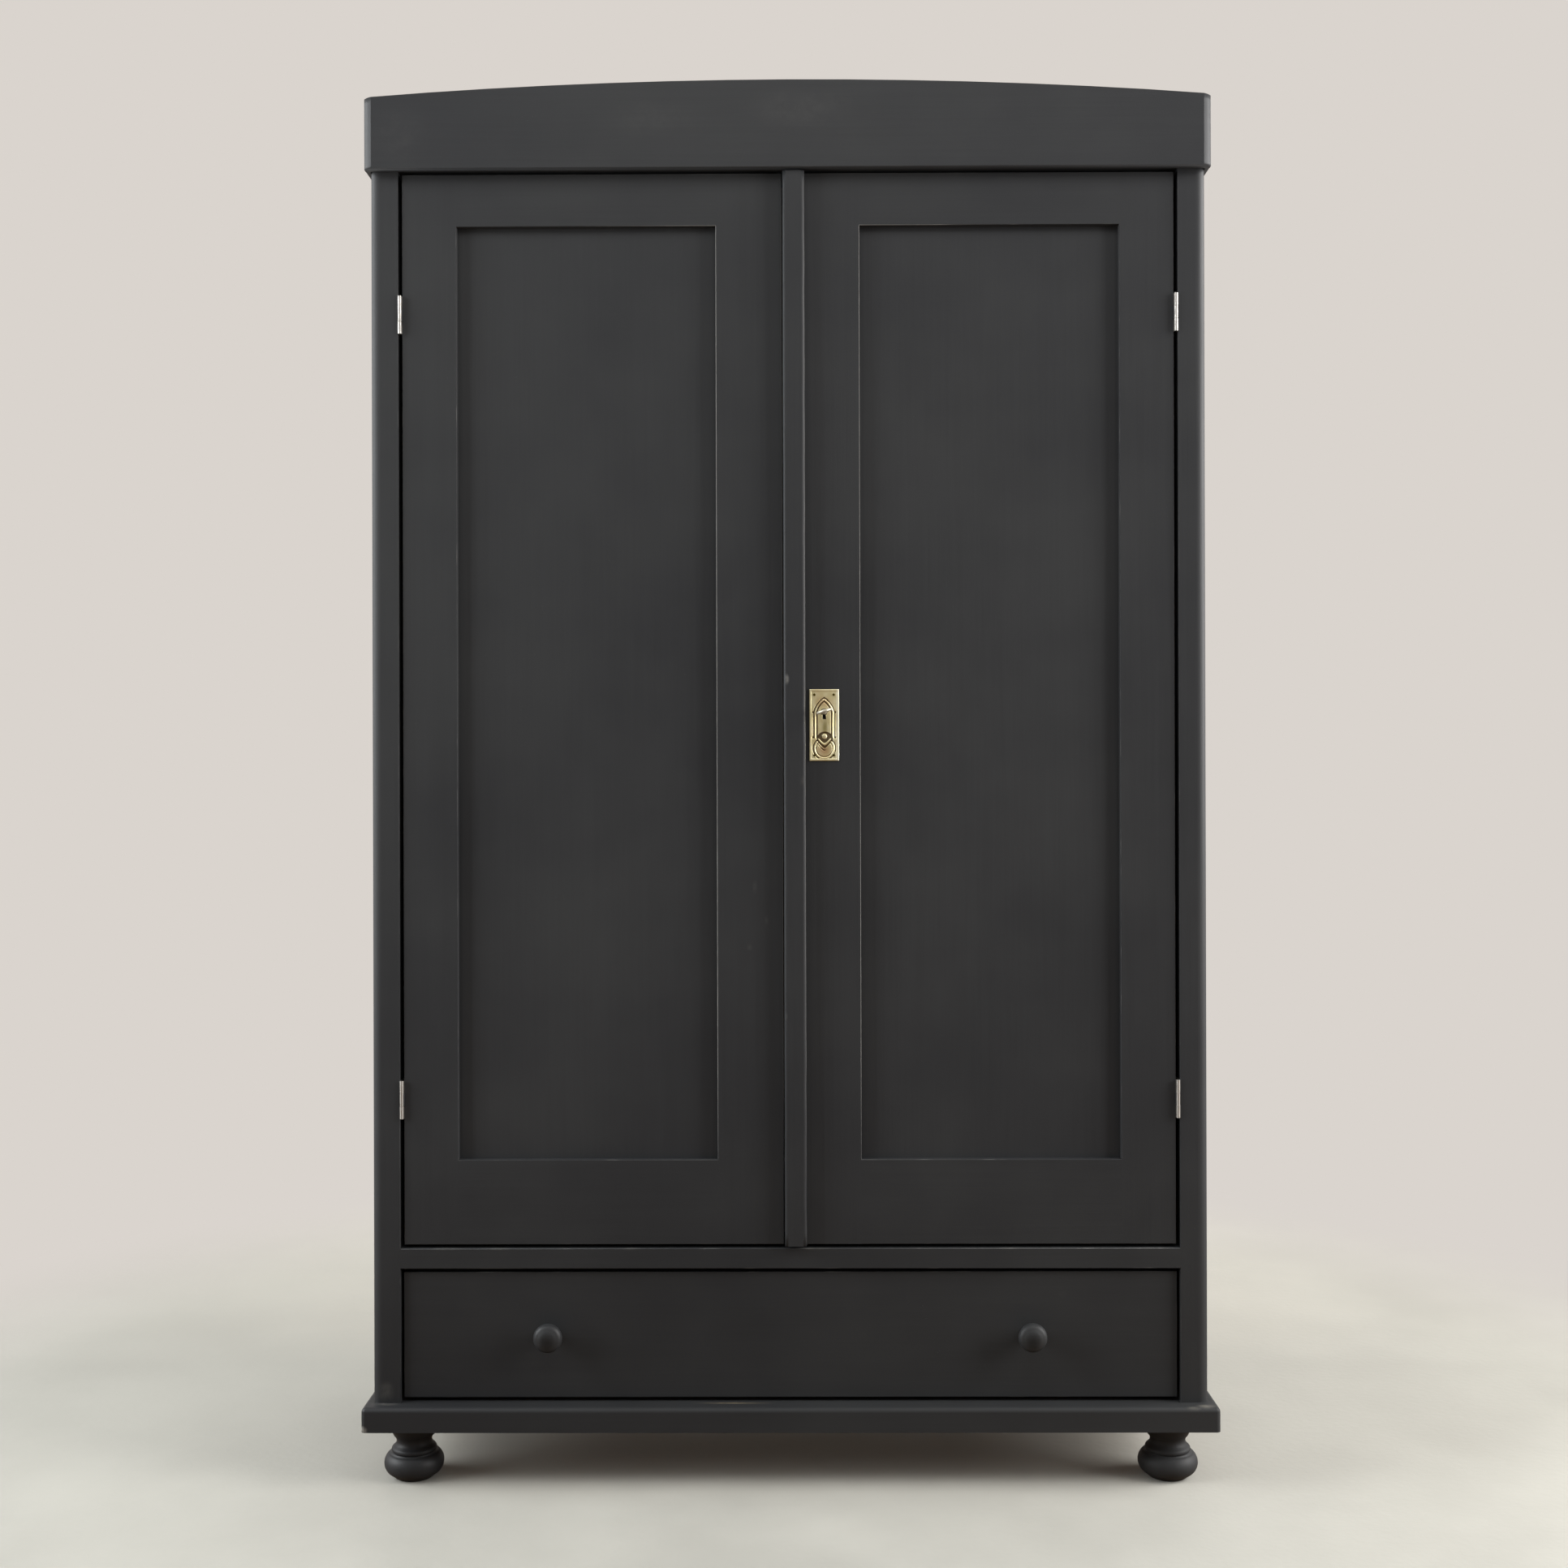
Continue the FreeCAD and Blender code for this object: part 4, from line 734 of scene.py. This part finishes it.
# Roof and crown: an arched front board, rounded at its ends and lapped over the header, with plain returns
# along the sides. They are painted; the roof board behind them is bare, dusty pine.
crown_marks = [((0.015, -0.265, 1.812), (0.09, 0.02, 0.035), 0.16, (92, 91, 89)),
               ((-0.18, -0.265, 1.80), (0.08, 0.02, 0.03), 0.12, (90, 89, 87)),
               ((-0.51, -0.265, 1.78), (0.05, 0.02, 0.05), 0.14, (92, 91, 89))]


def crown_painted(x, y, z, wander):
    return either(past(abs(x) + wander, 0.536), past(-y + wander, 0.239), past(z + wander, 1.826))


crown_lengthways = joinery("painted_crown_return", "y", (0.42, 1.66), crown_painted)
roof_finish = joinery("bare_roof", "x", (0.7, 1.9))
crown_across = joinery("painted_crown", "x", marks=crown_marks)
crown_low, crown_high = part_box("crown_front")
crown_round = 0.008
crown_band = 0.0105
crown_flatness = 0.6
# Cuts near both ends of the corners keep their shading even.
crown_cuts = [("z", crown_low.z + 0.0035), ("z", 1.8225)]
mesh = eased("crown_front", 0.0011, 0.004, cuts=crown_cuts)
drawn_out(mesh, crown_low, crown_high, crown_round, crown_band, crown_flatness)
piece("eased_crown_front", mesh, crown_across, "root", "painted_wood", "crown_front")
eased_piece("crown_left", crown_lengthways, "painted_wood")
eased_piece("crown_right", crown_lengthways, "painted_wood")
eased_piece("roof_board", roof_finish, "bare_pine")


# Doors: two framed doors in pine, painted all over, each with two stiles, two rails tenoned between them
# and a flat panel that lies a finger's depth behind the frame.
door_marks = [((-0.045, -0.247, 0.79), (0.005, 0.01, 0.012), 0.35, (88, 87, 85)),
              ((-0.030, -0.247, 0.745), (0.004, 0.01, 0.009), 0.3, (86, 85, 83)),
              ((-0.052, -0.247, 0.71), (0.005, 0.01, 0.007), 0.3, (86, 85, 83))]
door_upright = joinery("painted_door_upright", "z", marks=door_marks)
door_across = joinery("painted_door_across", "x")
door_joints = [("z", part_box("left_door_bottom_rail")[1].z), ("z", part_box("left_door_top_rail")[0].z)]
for side in ("left", "right"):
    for part in ("hinge_stile", "meeting_stile"):
        eased_piece(side + "_door_" + part, door_upright, "painted_wood", 0.0008, cuts=door_joints)
    for part in ("top_rail", "bottom_rail"):
        eased_piece(side + "_door_" + part, door_across, "painted_wood", 0.0008)
    eased_piece(side + "_door_panel", door_upright, "painted_wood", 0.0005)


# Cover strip: a hand-planed batten with two rounded edges, planted with glue on the right door's closing
# edge. Its edges wander by a hair and are lighter: rubbed by years of hands, and also a painted highlight.
strip_low, strip_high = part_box("cover_strip")
strip_round = 0.004
arc_points = 7
mesh = bmesh.new()
strip_wear_and_highlight = mesh.faces.layers.float.new("arris")
profile = [(strip_high.x, strip_high.y)]
for centre_x, start in ((strip_high.x - strip_round, 0.0), (strip_low.x + strip_round, -90.0)):
    for step in range(arc_points):
        angle = math.radians(start - 15.0 * step)
        profile.append((centre_x + strip_round * math.cos(angle),
                        strip_low.y + strip_round + strip_round * math.sin(angle)))
profile.append((strip_low.x, strip_high.y))
sections = 90
rings = []
for number in range(sections + 1):
    z = strip_low.z + (strip_high.z - strip_low.z) * number / sections
    ring = []
    for x, y in profile:
        left_edge = x < (strip_low.x + strip_high.x) / 2
        wander = 0.00035 + 0.0007 * noise.noise(Vector((3.0 if left_edge else 9.0, 0.0, z * 22.0)))
        wander = max(0.0, wander) if y < strip_high.y - 0.001 else 0.0
        inward = wander if left_edge else -wander
        front = wander * 0.4 if y < strip_low.y + 0.001 else 0.0
        ring.append(mesh.verts.new((x + inward, y + front, z)))
    rings.append(ring)
for low_ring, high_ring in zip(rings, rings[1:]):
    for step in range(len(profile)):
        after = (step + 1) % len(profile)
        face = mesh.faces.new((low_ring[step], low_ring[after], high_ring[after], high_ring[step]))
        # The right edge's rounding gets half the lighter arris colour: wear, and also a painted highlight.
        face[strip_wear_and_highlight] = 0.5 if step in (1, 2) else 0.0
        face.smooth = 0 < step < 2 * arc_points and step != arc_points
mesh.faces.new(rings[0])
mesh.faces.new(rings[-1])
bmesh.ops.recalc_face_normals(mesh, faces=mesh.faces)
strip_finish = joinery("painted_strip", "z", marks=[
    ((-0.002, strip_low.y, 1.0635), (0.004, 0.01, 0.009), 0.8, (132, 131, 128)),
    ((0.018, strip_low.y, 0.93), (0.004, 0.01, 0.008), 0.3, (92, 89, 84)),
    ((-0.004, strip_low.y, 0.62), (0.003, 0.01, 0.008), 0.3, (92, 91, 88))])
piece("planed_cover_strip", mesh, strip_finish, "right_door", "painted_wood", "cover_strip")


# Hinges: bright nickelled butts, let into door and post, each with three knuckles on a steel pin and
# slotted countersunk screws.
pin_low, pin_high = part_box("hinge_pins")
pin_radius = 0.0015
hinge_x = (pin_high.x - pin_low.x) / 2 - pin_radius
barrel_radius = 0.0024
leaf_face = 0.0018
leaf_front = -0.245


def hinge_painted(x, y, z):
    off_barrel = abs(abs(x) - hinge_x).ramp(barrel_radius - 0.0001, barrel_radius + 0.0002)
    return off_barrel * y.ramp(leaf_front + 0.0035, leaf_front + 0.0022)


nickel = metal("bright_nickel", (178, 175, 170), (142, 138, 132), 0.40, 0.10, 0.3, painted=hinge_painted)
for node in ("frame_hinge_leaves", "left_door_hinge_leaves", "right_door_hinge_leaves", "hinge_pins"):
    mesh = eased(node, 0.00018, 0.0008, 2)
    for face in mesh.faces:
        face.smooth = True
    for edge in mesh.edges:
        if edge.is_manifold and edge.calc_face_angle() > math.radians(32):
            edge.smooth = False
    piece("eased_" + node, mesh, nickel, nodes[node]["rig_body"], "bright_nickel", node)

slotted_heads = fastener_tree("slotted_screw_heads", 18, True)
leaf_screws = {"root": [], "left_door": [], "right_door": []}
leaf_y = leaf_front + 0.0125
for z in (pin_low.z + 0.025, pin_high.z - 0.025):
    for rise in (-0.018, 0.0, 0.018):
        sideways = 0.003 if rise == 0.0 else -0.001
        for side, door in ((-1, "left_door"), (1, "right_door")):
            frame_face = (side * (hinge_x + leaf_face), leaf_y + sideways, z + rise)
            door_face = (side * (hinge_x - leaf_face), leaf_y + sideways, z + rise)
            leaf_screws["root"].append((frame_face, (-side, 0.0, 0.0)))
            leaf_screws[door].append((door_face, (side, 0.0, 0.0)))
for body, spots in leaf_screws.items():
    set_fasteners(body + "_hinge_screws", slotted_heads, spots,
                  {"Head radius": 0.0036, "Head height": 0.0007, "Slot width": 0.0008}, nickel, body,
                  "bright_nickel")


# Lock: a riveted steel case on the right door's inner face with its sliding bolt, and a steel keeper on the
# left door. Slotted steel screws hold them.
steel = metal("grey_steel", (150, 148, 144), (92, 86, 78), 0.32, 0.2, 0.7)
for node in ("lock_case", "lock_bolt", "lock_keeper"):
    eased_piece(node, steel, "grey_steel", 0.0004, 0.002, 2)
case_low, case_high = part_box("lock_case")
keeper_low, keeper_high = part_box("lock_keeper")
lock_spots = [((x, case_high.y, z), backward) for x in (case_low.x + 0.008, case_high.x - 0.008)
              for z in (case_low.z + 0.007, case_high.z - 0.007)]
keeper_spots = [(((keeper_low.x + keeper_high.x) / 2, keeper_high.y, z), backward)
                for z in (keeper_low.z + 0.0042, keeper_high.z - 0.0042)]
lock_screw_sizes = {"Head radius": 0.003, "Head height": 0.001, "Slot width": 0.0008}
for name, spots, body in (("lock_screws", lock_spots, "right_door"),
                          ("keeper_screws", keeper_spots, "left_door")):
    set_fasteners(name, slotted_heads, spots, lock_screw_sizes, steel, body, "grey_steel")


# Left door's bolt: a steel plate with two staples and a sliding rod that goes up into the header.
for node in ("door_bolt_plate", "door_bolt_rod"):
    eased_piece(node, steel, "grey_steel", 0.0004, 0.002, 2)
bolt_low, bolt_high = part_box("door_bolt_plate")
door_back = -0.223
bolt_sheet = 0.002
bolt_spots = [((x, door_back + bolt_sheet, z), backward)
              for x in (bolt_low.x + 0.0018, bolt_high.x - 0.0018)
              for z in (bolt_low.z + 0.020, bolt_high.z - 0.020)]
set_fasteners("door_bolt_pins", nail_heads, bolt_spots, {"Head radius": 0.0014, "Head height": 0.0008},
              steel, "left_door", "grey_steel")


# Lock plate: thin brass, pressed from behind, with a rolled rim, a pointed arch of two lines round the
# keyhole, a boss in a garland, and a round bow that hangs to the foot of the plate. Four brass pins hold it.
plate_low, plate_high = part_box("escutcheon")
plate_width = plate_high.x - plate_low.x
plate_height = plate_high.z - plate_low.z
plate_sheet = plate_high.y - plate_low.y
plate_step = 0.0004
plate_columns = round(plate_width / plate_step)
plate_rows = round(plate_height / plate_step)
plate_edge_thickness = 0.0006
rim_width = 0.0032
key_turn = next(joint for joint in frame["record"]["behaviour"]["joints"] if joint["name"] == "key_turn")
key_x, _, key_z = key_turn["pos_m"]


def groove(distance, half_width):
    """1 in the middle of a groove or on a ridge, 0 beyond its half width."""
    share = max(0.0, 1.0 - (distance / half_width) ** 2)
    return share * share


def arch_gap(x, z, apex, shoulder, half):
    """How far a point is from a pointed arch that springs at the shoulder, half wide each side."""
    across = abs(x)
    if z <= apex:
        return math.hypot(across, apex - z)
    share = min(1.0, (z - apex) / (shoulder - apex))
    sideways = across - half * math.sin(share * math.pi / 2) ** 0.8
    if across >= half or share >= 1.0:
        return sideways
    upright = z - apex - (shoulder - apex) * math.asin((across / half) ** 1.25) * 2 / math.pi
    return math.copysign(abs(sideways * upright) / max(1e-6, math.hypot(sideways, upright)), sideways)


def dome(distance, radius, height):
    """The height of a round dome over a point, or nothing outside it."""
    return height * math.sqrt(1.0 - (distance / radius) ** 2) if distance < radius else 0.0


def plate_relief(x, z):
    """How far the plate stands out, from 0 to 1, at x from its middle and z down from its top."""
    edge = min(x + plate_width / 2, plate_width / 2 - x, z, plate_height - z)
    if edge < rim_width:
        return 0.40 + 0.36 * math.sin(math.pi * (0.10 + 0.90 * edge / rim_width)) ** 0.7
    level = 0.50
    if z < 0.0650:
        inner = arch_gap(x, z, 0.0160, 0.0320, 0.0098)
        outer = arch_gap(x, z, 0.0112, 0.0330, 0.0138)
        middle = arch_gap(x, z, 0.0136, 0.0325, 0.0118)
        level -= 0.66 * groove(inner, 0.0017) + 0.52 * groove(outer, 0.0014)
        level += 0.20 * groove(middle, 0.0014)
        if inner < 0.0:
            level -= 0.12 * min(1.0, -inner / 0.006)
    ray = math.atan2(x, 0.0190 - z)
    if z < 0.0175 and abs(ray) < 1.1:
        level -= 0.30 * groove(math.hypot(x, 0.0190 - z) - 0.0058, 0.0030) * max(0.0, math.cos(ray * 9.0))
    boss = math.hypot(x - 0.0004, z - 0.0622)
    hood = math.hypot((x - 0.0008) * 0.92, z - 0.0664)
    if z < 0.0690:
        level -= 0.66 * groove(hood - 0.0088, 0.0020)
        if hood < 0.0080:
            level = 0.16
    if z > 0.0670:
        bow = math.hypot(x - 0.0002, z - 0.0783)
        level -= 0.60 * groove(bow - 0.0148, 0.0014)
        level += 0.22 * groove(bow - 0.0130, 0.0016)
        level -= 0.40 * groove(bow - 0.0110, 0.0011)
        if bow < 0.0110:
            level -= 0.16 * groove(bow, 0.0110)
    if z > 0.0650 and abs(x) < 0.0100:
        garland = 0.0764 - 0.0100 * (abs(x - 0.0004) / 0.0100) ** 1.5
        fade = min(1.0, (0.0100 - abs(x)) / 0.0018)
        if z < garland:
            level += (0.14 + 0.44 * groove(z - garland + 0.0036, 0.0022) - level) * fade
        level -= 0.70 * groove(z - garland, 0.0019) * fade
        one_side = max(0.0, min(1.0, (0.0030 - x) / 0.0040))
        level -= 0.34 * groove(z - garland - 0.0042, 0.0013) * fade * one_side
    level = max(level, dome(boss, 0.0036, 0.85))
    for side in (-1, 1):
        for height in (0.0305, 0.0640):
            level -= 0.44 * groove(math.hypot(x - side * 0.0152, (z - height) * 0.7), 0.0016)
    return max(0.0, min(1.0, level))


def band(mesh, first, second, smooth=False):
    """Faces all the way round between two rings of vertices."""
    for number in range(len(first)):
        after = (number + 1) % len(first)
        mesh.faces.new((first[number], first[after], second[after], second[number])).smooth = smooth


def prism(mesh, first, second):
    """A solid between two flat rings."""
    band(mesh, first, second)
    for ring in (first, second):
        mesh.faces.new(ring)


mesh = bmesh.new()
front_verts = []
for row in range(plate_rows + 1):
    z = plate_height * row / plate_rows
    front_row = []
    for column in range(plate_columns + 1):
        x = -plate_width / 2 + plate_width * column / plate_columns
        y = plate_high.y - plate_edge_thickness - (plate_sheet - plate_edge_thickness) * plate_relief(x, z)
        front_row.append(mesh.verts.new((key_x + x, y, plate_high.z - z)))
    front_verts.append(front_row)
for upper, lower in zip(front_verts, front_verts[1:]):
    for column in range(plate_columns):
        mesh.faces.new((upper[column], lower[column], lower[column + 1], upper[column + 1])).smooth = True
rim = ([front_verts[0][column] for column in range(plate_columns)]
       + [front_verts[row][-1] for row in range(plate_rows)]
       + [front_verts[-1][column] for column in range(plate_columns, 0, -1)]
       + [front_verts[row][0] for row in range(plate_rows, 0, -1)])
back_rim = [mesh.verts.new((vert.co.x, plate_high.y, vert.co.z)) for vert in rim]
band(mesh, rim, back_rim)
mesh.faces.new(back_rim)
bmesh.ops.recalc_face_normals(mesh, faces=mesh.faces)

keyhole_radius = 0.0045
keyhole_half_slot = 0.0026
keyhole_foot = -0.0098
keyhole = bmesh.new()
hole_points = [(keyhole_radius * math.cos(angle), keyhole_radius * math.sin(angle))
               for angle in (math.radians(-58 + 296 * step / 28) for step in range(29))]
hole_points += [(-keyhole_half_slot, keyhole_foot), (keyhole_half_slot, keyhole_foot)]
hole_rings = [[keyhole.verts.new((key_x + x, y, key_z + z)) for x, z in hole_points]
              for y in (plate_low.y - 0.002, plate_high.y + 0.002)]
prism(keyhole, *hole_rings)
bmesh.ops.recalc_face_normals(keyhole, faces=keyhole.faces)
cutter = placed("keyhole_cutter", settled("keyhole_cutter", keyhole))
sheet = placed("pressed_plate", settled("pressed_plate", mesh))
cutting = sheet.modifiers.new("keyhole", "BOOLEAN")
cutting.operation = "DIFFERENCE"
cutting.solver = "EXACT"
cutting.object = cutter
pressed = bpy.data.meshes.new_from_object(sheet.evaluated_get(bpy.context.evaluated_depsgraph_get()))
for thing in (cutter, sheet):
    bpy.data.objects.remove(thing)

brass = Finish("aged_brass", metallic=1.0)
brass_x, brass_y = brass.axes()[:2]
stand = ((plate_high.y - plate_edge_thickness) - brass_y) / (plate_sheet - plate_edge_thickness)
hollow = stand.ramp(0.44, 0.12)
raised = stand.ramp(0.55, 0.9)
bloom = brass.cloud((110.0, 110.0, 60.0), 4.0, 0.6)
stain = brass.cloud((45.0, 45.0, 30.0), 3.0, 0.5, (0.0, 2.0, 0.0)).ramp(0.45, 0.7)
# Painted highlight: the right rim is made lighter, where fingers also rub it.
rubbed_rim_and_highlight = brass_x.ramp(plate_high.x - 0.0042, plate_high.x - 0.0026)
copper = either(brass.near((key_x, plate_low.y, plate_high.z - 0.081), (0.0145, 0.02, 0.0125)),
                brass.near((key_x, plate_low.y, plate_high.z - 0.018), (0.0165, 0.02, 0.0110)) * 0.7)
# Painted shade: a soft darker olive band down the middle of the arch.
arch_painted_shade = brass.near((key_x + 0.001, plate_low.y, plate_high.z - 0.050), (0.0050, 0.02, 0.0170))
brass_colour = brass.mix(bloom.ramp(0.35, 0.7), (238, 227, 176), (250, 243, 206))
for share, tone in ((stain * 0.4, (214, 186, 128)), (copper * 0.8, (202, 160, 116)),
                    (arch_painted_shade * 0.7, (150, 138, 76)), (raised * 0.4, (250, 244, 216)),
                    (rubbed_rim_and_highlight * 0.8, (253, 248, 222)), (hollow * 0.92, (68, 45, 22))):
    brass_colour = brass.mix(share, brass_colour, tone)
brass_roughness = bloom * 0.12 + hollow * 0.15 + 0.42
brass.done(brass_colour, brass_roughness, brass.cloud(900.0, 3.0), 0.00005)
piece("pressed_lock_plate", pressed, brass.material, "right_door", "aged_brass", "escutcheon")

pin_across = 0.0128
pin_drop = 0.0072
pin_tarnish = metal("pin_brass", (92, 80, 30), (48, 40, 16), 0.5, tarnish=0.8)
plate_pins = [((key_x + side * pin_across, plate_low.y + 0.0007, plate_high.z - drop), (0.0, -1.0, 0.0))
              for side in (-1, 1) for drop in (pin_drop, plate_height - pin_drop)]
set_fasteners("lock_plate_pins", fastener_tree("round_pin_heads", 12, False), plate_pins,
              {"Head radius": 0.0017, "Head height": 0.0007}, pin_tarnish, "right_door", "aged_brass")


# Key: a forged steel key that stands in the lock, part turned, with an oval bow, a collar, a round shank
# and a bit with a ward filed into it.
key_low, key_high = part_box("key")
tilt = math.radians(17.0)
bow_half_length = 0.01125
bow_half_width = 0.00865
bow_centre_y = key_low.y + 0.013
bow_wire_across = 0.00175
bow_wire_up = 0.0018
shank_radius = 0.0029
bow_steps = 48
wire_steps = 14
mesh = bmesh.new()
loop = [Vector((bow_half_width * math.sin(angle), bow_centre_y - bow_half_length * math.cos(angle), 0.0))
        for angle in (2 * math.pi * step / bow_steps for step in range(bow_steps))]
rings = []
for number, point in enumerate(loop):
    run = (loop[(number + 1) % bow_steps] - loop[number - 1]).normalized()
    across = run.cross(Vector((0.0, 0.0, 1.0)))
    rings.append([mesh.verts.new(point + across * bow_wire_across * math.cos(angle)
                                 + Vector((0.0, 0.0, bow_wire_up * math.sin(angle))))
                  for angle in (2 * math.pi * step / wire_steps for step in range(wire_steps))])
for first, second in zip(rings, rings[1:] + rings[:1]):
    band(mesh, first, second, smooth=True)


def add_on(mesh, other):
    """Takes what another mesh has into the first, and lets the other go."""
    passing = settled("passing", other)
    mesh.from_mesh(passing)
    bpy.data.meshes.remove(passing)


neck = key_low.y + 0.024
shank_profile = [(0.0, neck), (0.0020, neck), (shank_radius, neck + 0.0012), (shank_radius, neck + 0.0022),
                 (0.0034, neck + 0.0026), (0.0036, neck + 0.0034), (0.0034, neck + 0.0042),
                 (shank_radius, neck + 0.0046), (shank_radius, key_high.y - 0.0008),
                 (0.0024, key_high.y), (0.0, key_high.y)]
add_on(mesh, turned(shank_profile, Vector((0, 0, 0)), Matrix.Rotation(math.radians(-90), 4, "X"), 28))
bit_front = door_back + 0.004
bit_outline = [(0.0, 0.0), (0.0095, 0.0), (0.0095, 0.0022), (0.0062, 0.0022), (0.0062, 0.0030),
               (0.0095, 0.0030), (0.0095, 0.0060), (0.0, 0.0060)]
bit_rings = [[mesh.verts.new((x, bit_front + y, z)) for x, y in bit_outline] for z in (-0.0012, 0.0012)]
prism(mesh, *bit_rings)
bmesh.ops.transform(mesh, matrix=Matrix.Translation((key_x, 0, key_z)) @ Matrix.Rotation(-tilt, 4, "Y"),
                    verts=mesh.verts)
bmesh.ops.recalc_face_normals(mesh, faces=mesh.faces)
key_steel = metal("key_steel", (212, 208, 194), (150, 144, 128), 0.5, 0.2, 0.5)
piece("forged_key", mesh, key_steel, "key", "grey_steel", "key")


# Drawer: a pine box, half-blind dovetails behind the front and through dovetails at the back, its bottom
# slid into grooves. Only the front's face, its top edge and the laps of its ends are painted.
drawer_low, drawer_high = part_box("drawer_front")
painted_lap = 0.0055


def drawer_painted(x, y, z, wander):
    on_top = past(z, drawer_high.z - 0.0012) * past(-y + wander, -drawer_high.y + 0.0015)
    return either(past(-y + wander * 0.5, -drawer_low.y - painted_lap), on_top)


drawer_paint = joinery("painted_drawer_front", "x", (-0.1, 0.62), drawer_painted,
                       [((0.36, drawer_low.y, 0.25), (0.008, 0.01, 0.006), 0.25, (76, 75, 73))])
side_finish = joinery("bare_drawer_side", "y", (0.75, 0.1))
back_of_drawer = joinery("bare_drawer_back", "x", (0.1, -0.2))
eased_piece("drawer_front", drawer_paint, "painted_wood", 0.0007)
for part, finish in (("left_side", side_finish), ("right_side", side_finish), ("back", back_of_drawer),
                     ("bottom", back_of_drawer)):
    eased_piece("drawer_" + part, finish, "bare_pine", 0.0005)
eased_piece("drawer_runners", bare_lengthways, "bare_pine")
eased_piece("drawer_stops", bare_across, "bare_pine")


# Knobs: two turned wooden knobs, each with a small foot, a neck and a domed face, painted with the drawer
# and polished by use. Painted shade darkens the lower middle of each face.
knob_reach = 0.034
knob_aside = 0.318
knob_up = 0.085
knob_profile = [(0.0, -0.022), (0.0049, -0.022), (0.0049, 0.0)]
knob_profile += swept((0.011, 0.0), (0.008, 0.22 * knob_reach), (0.0100, 0.42 * knob_reach), 8)
knob_profile += swept((0.0100, 0.42 * knob_reach), (0.019, 0.68 * knob_reach), (0.0128, 0.915 * knob_reach),
                      16)[1:]
knob_profile += [(radius, share * knob_reach) for radius, share in
                 ((0.0108, 0.95), (0.0084, 0.975), (0.0046, 0.992), (0.0, 1.0))]
knob_finish = Finish("painted_knob", specular=0.25)
knob_colour, knob_roughness, knob_height = charcoal_paint(knob_finish, "z", strokes=False)
face_y = drawer_low.y - knob_reach
face_z = drawer_low.z + knob_up - 0.002
# Painted shade on the lower middle of each knob's face.
knob_painted_shade = [knob_finish.near((side * knob_aside, face_y, face_z), (0.0145, 0.018, 0.0135))
              for side in (-1, 1)]
knob_colour = knob_finish.mix(either(*knob_painted_shade) * 0.85, knob_colour, (24, 24, 25))
knob_finish.done(knob_colour, knob_roughness - 0.06, knob_height, 0.0001)
mesh = bmesh.new()
for side in (-1, 1):
    centre = Vector((side * knob_aside, drawer_low.y, drawer_low.z + knob_up))
    add_on(mesh, turned(knob_profile, centre, Matrix.Rotation(math.radians(90), 4, "X"), 48))
piece("turned_drawer_knobs", mesh, knob_finish.material, "drawer", "painted_wood", "drawer_knobs")
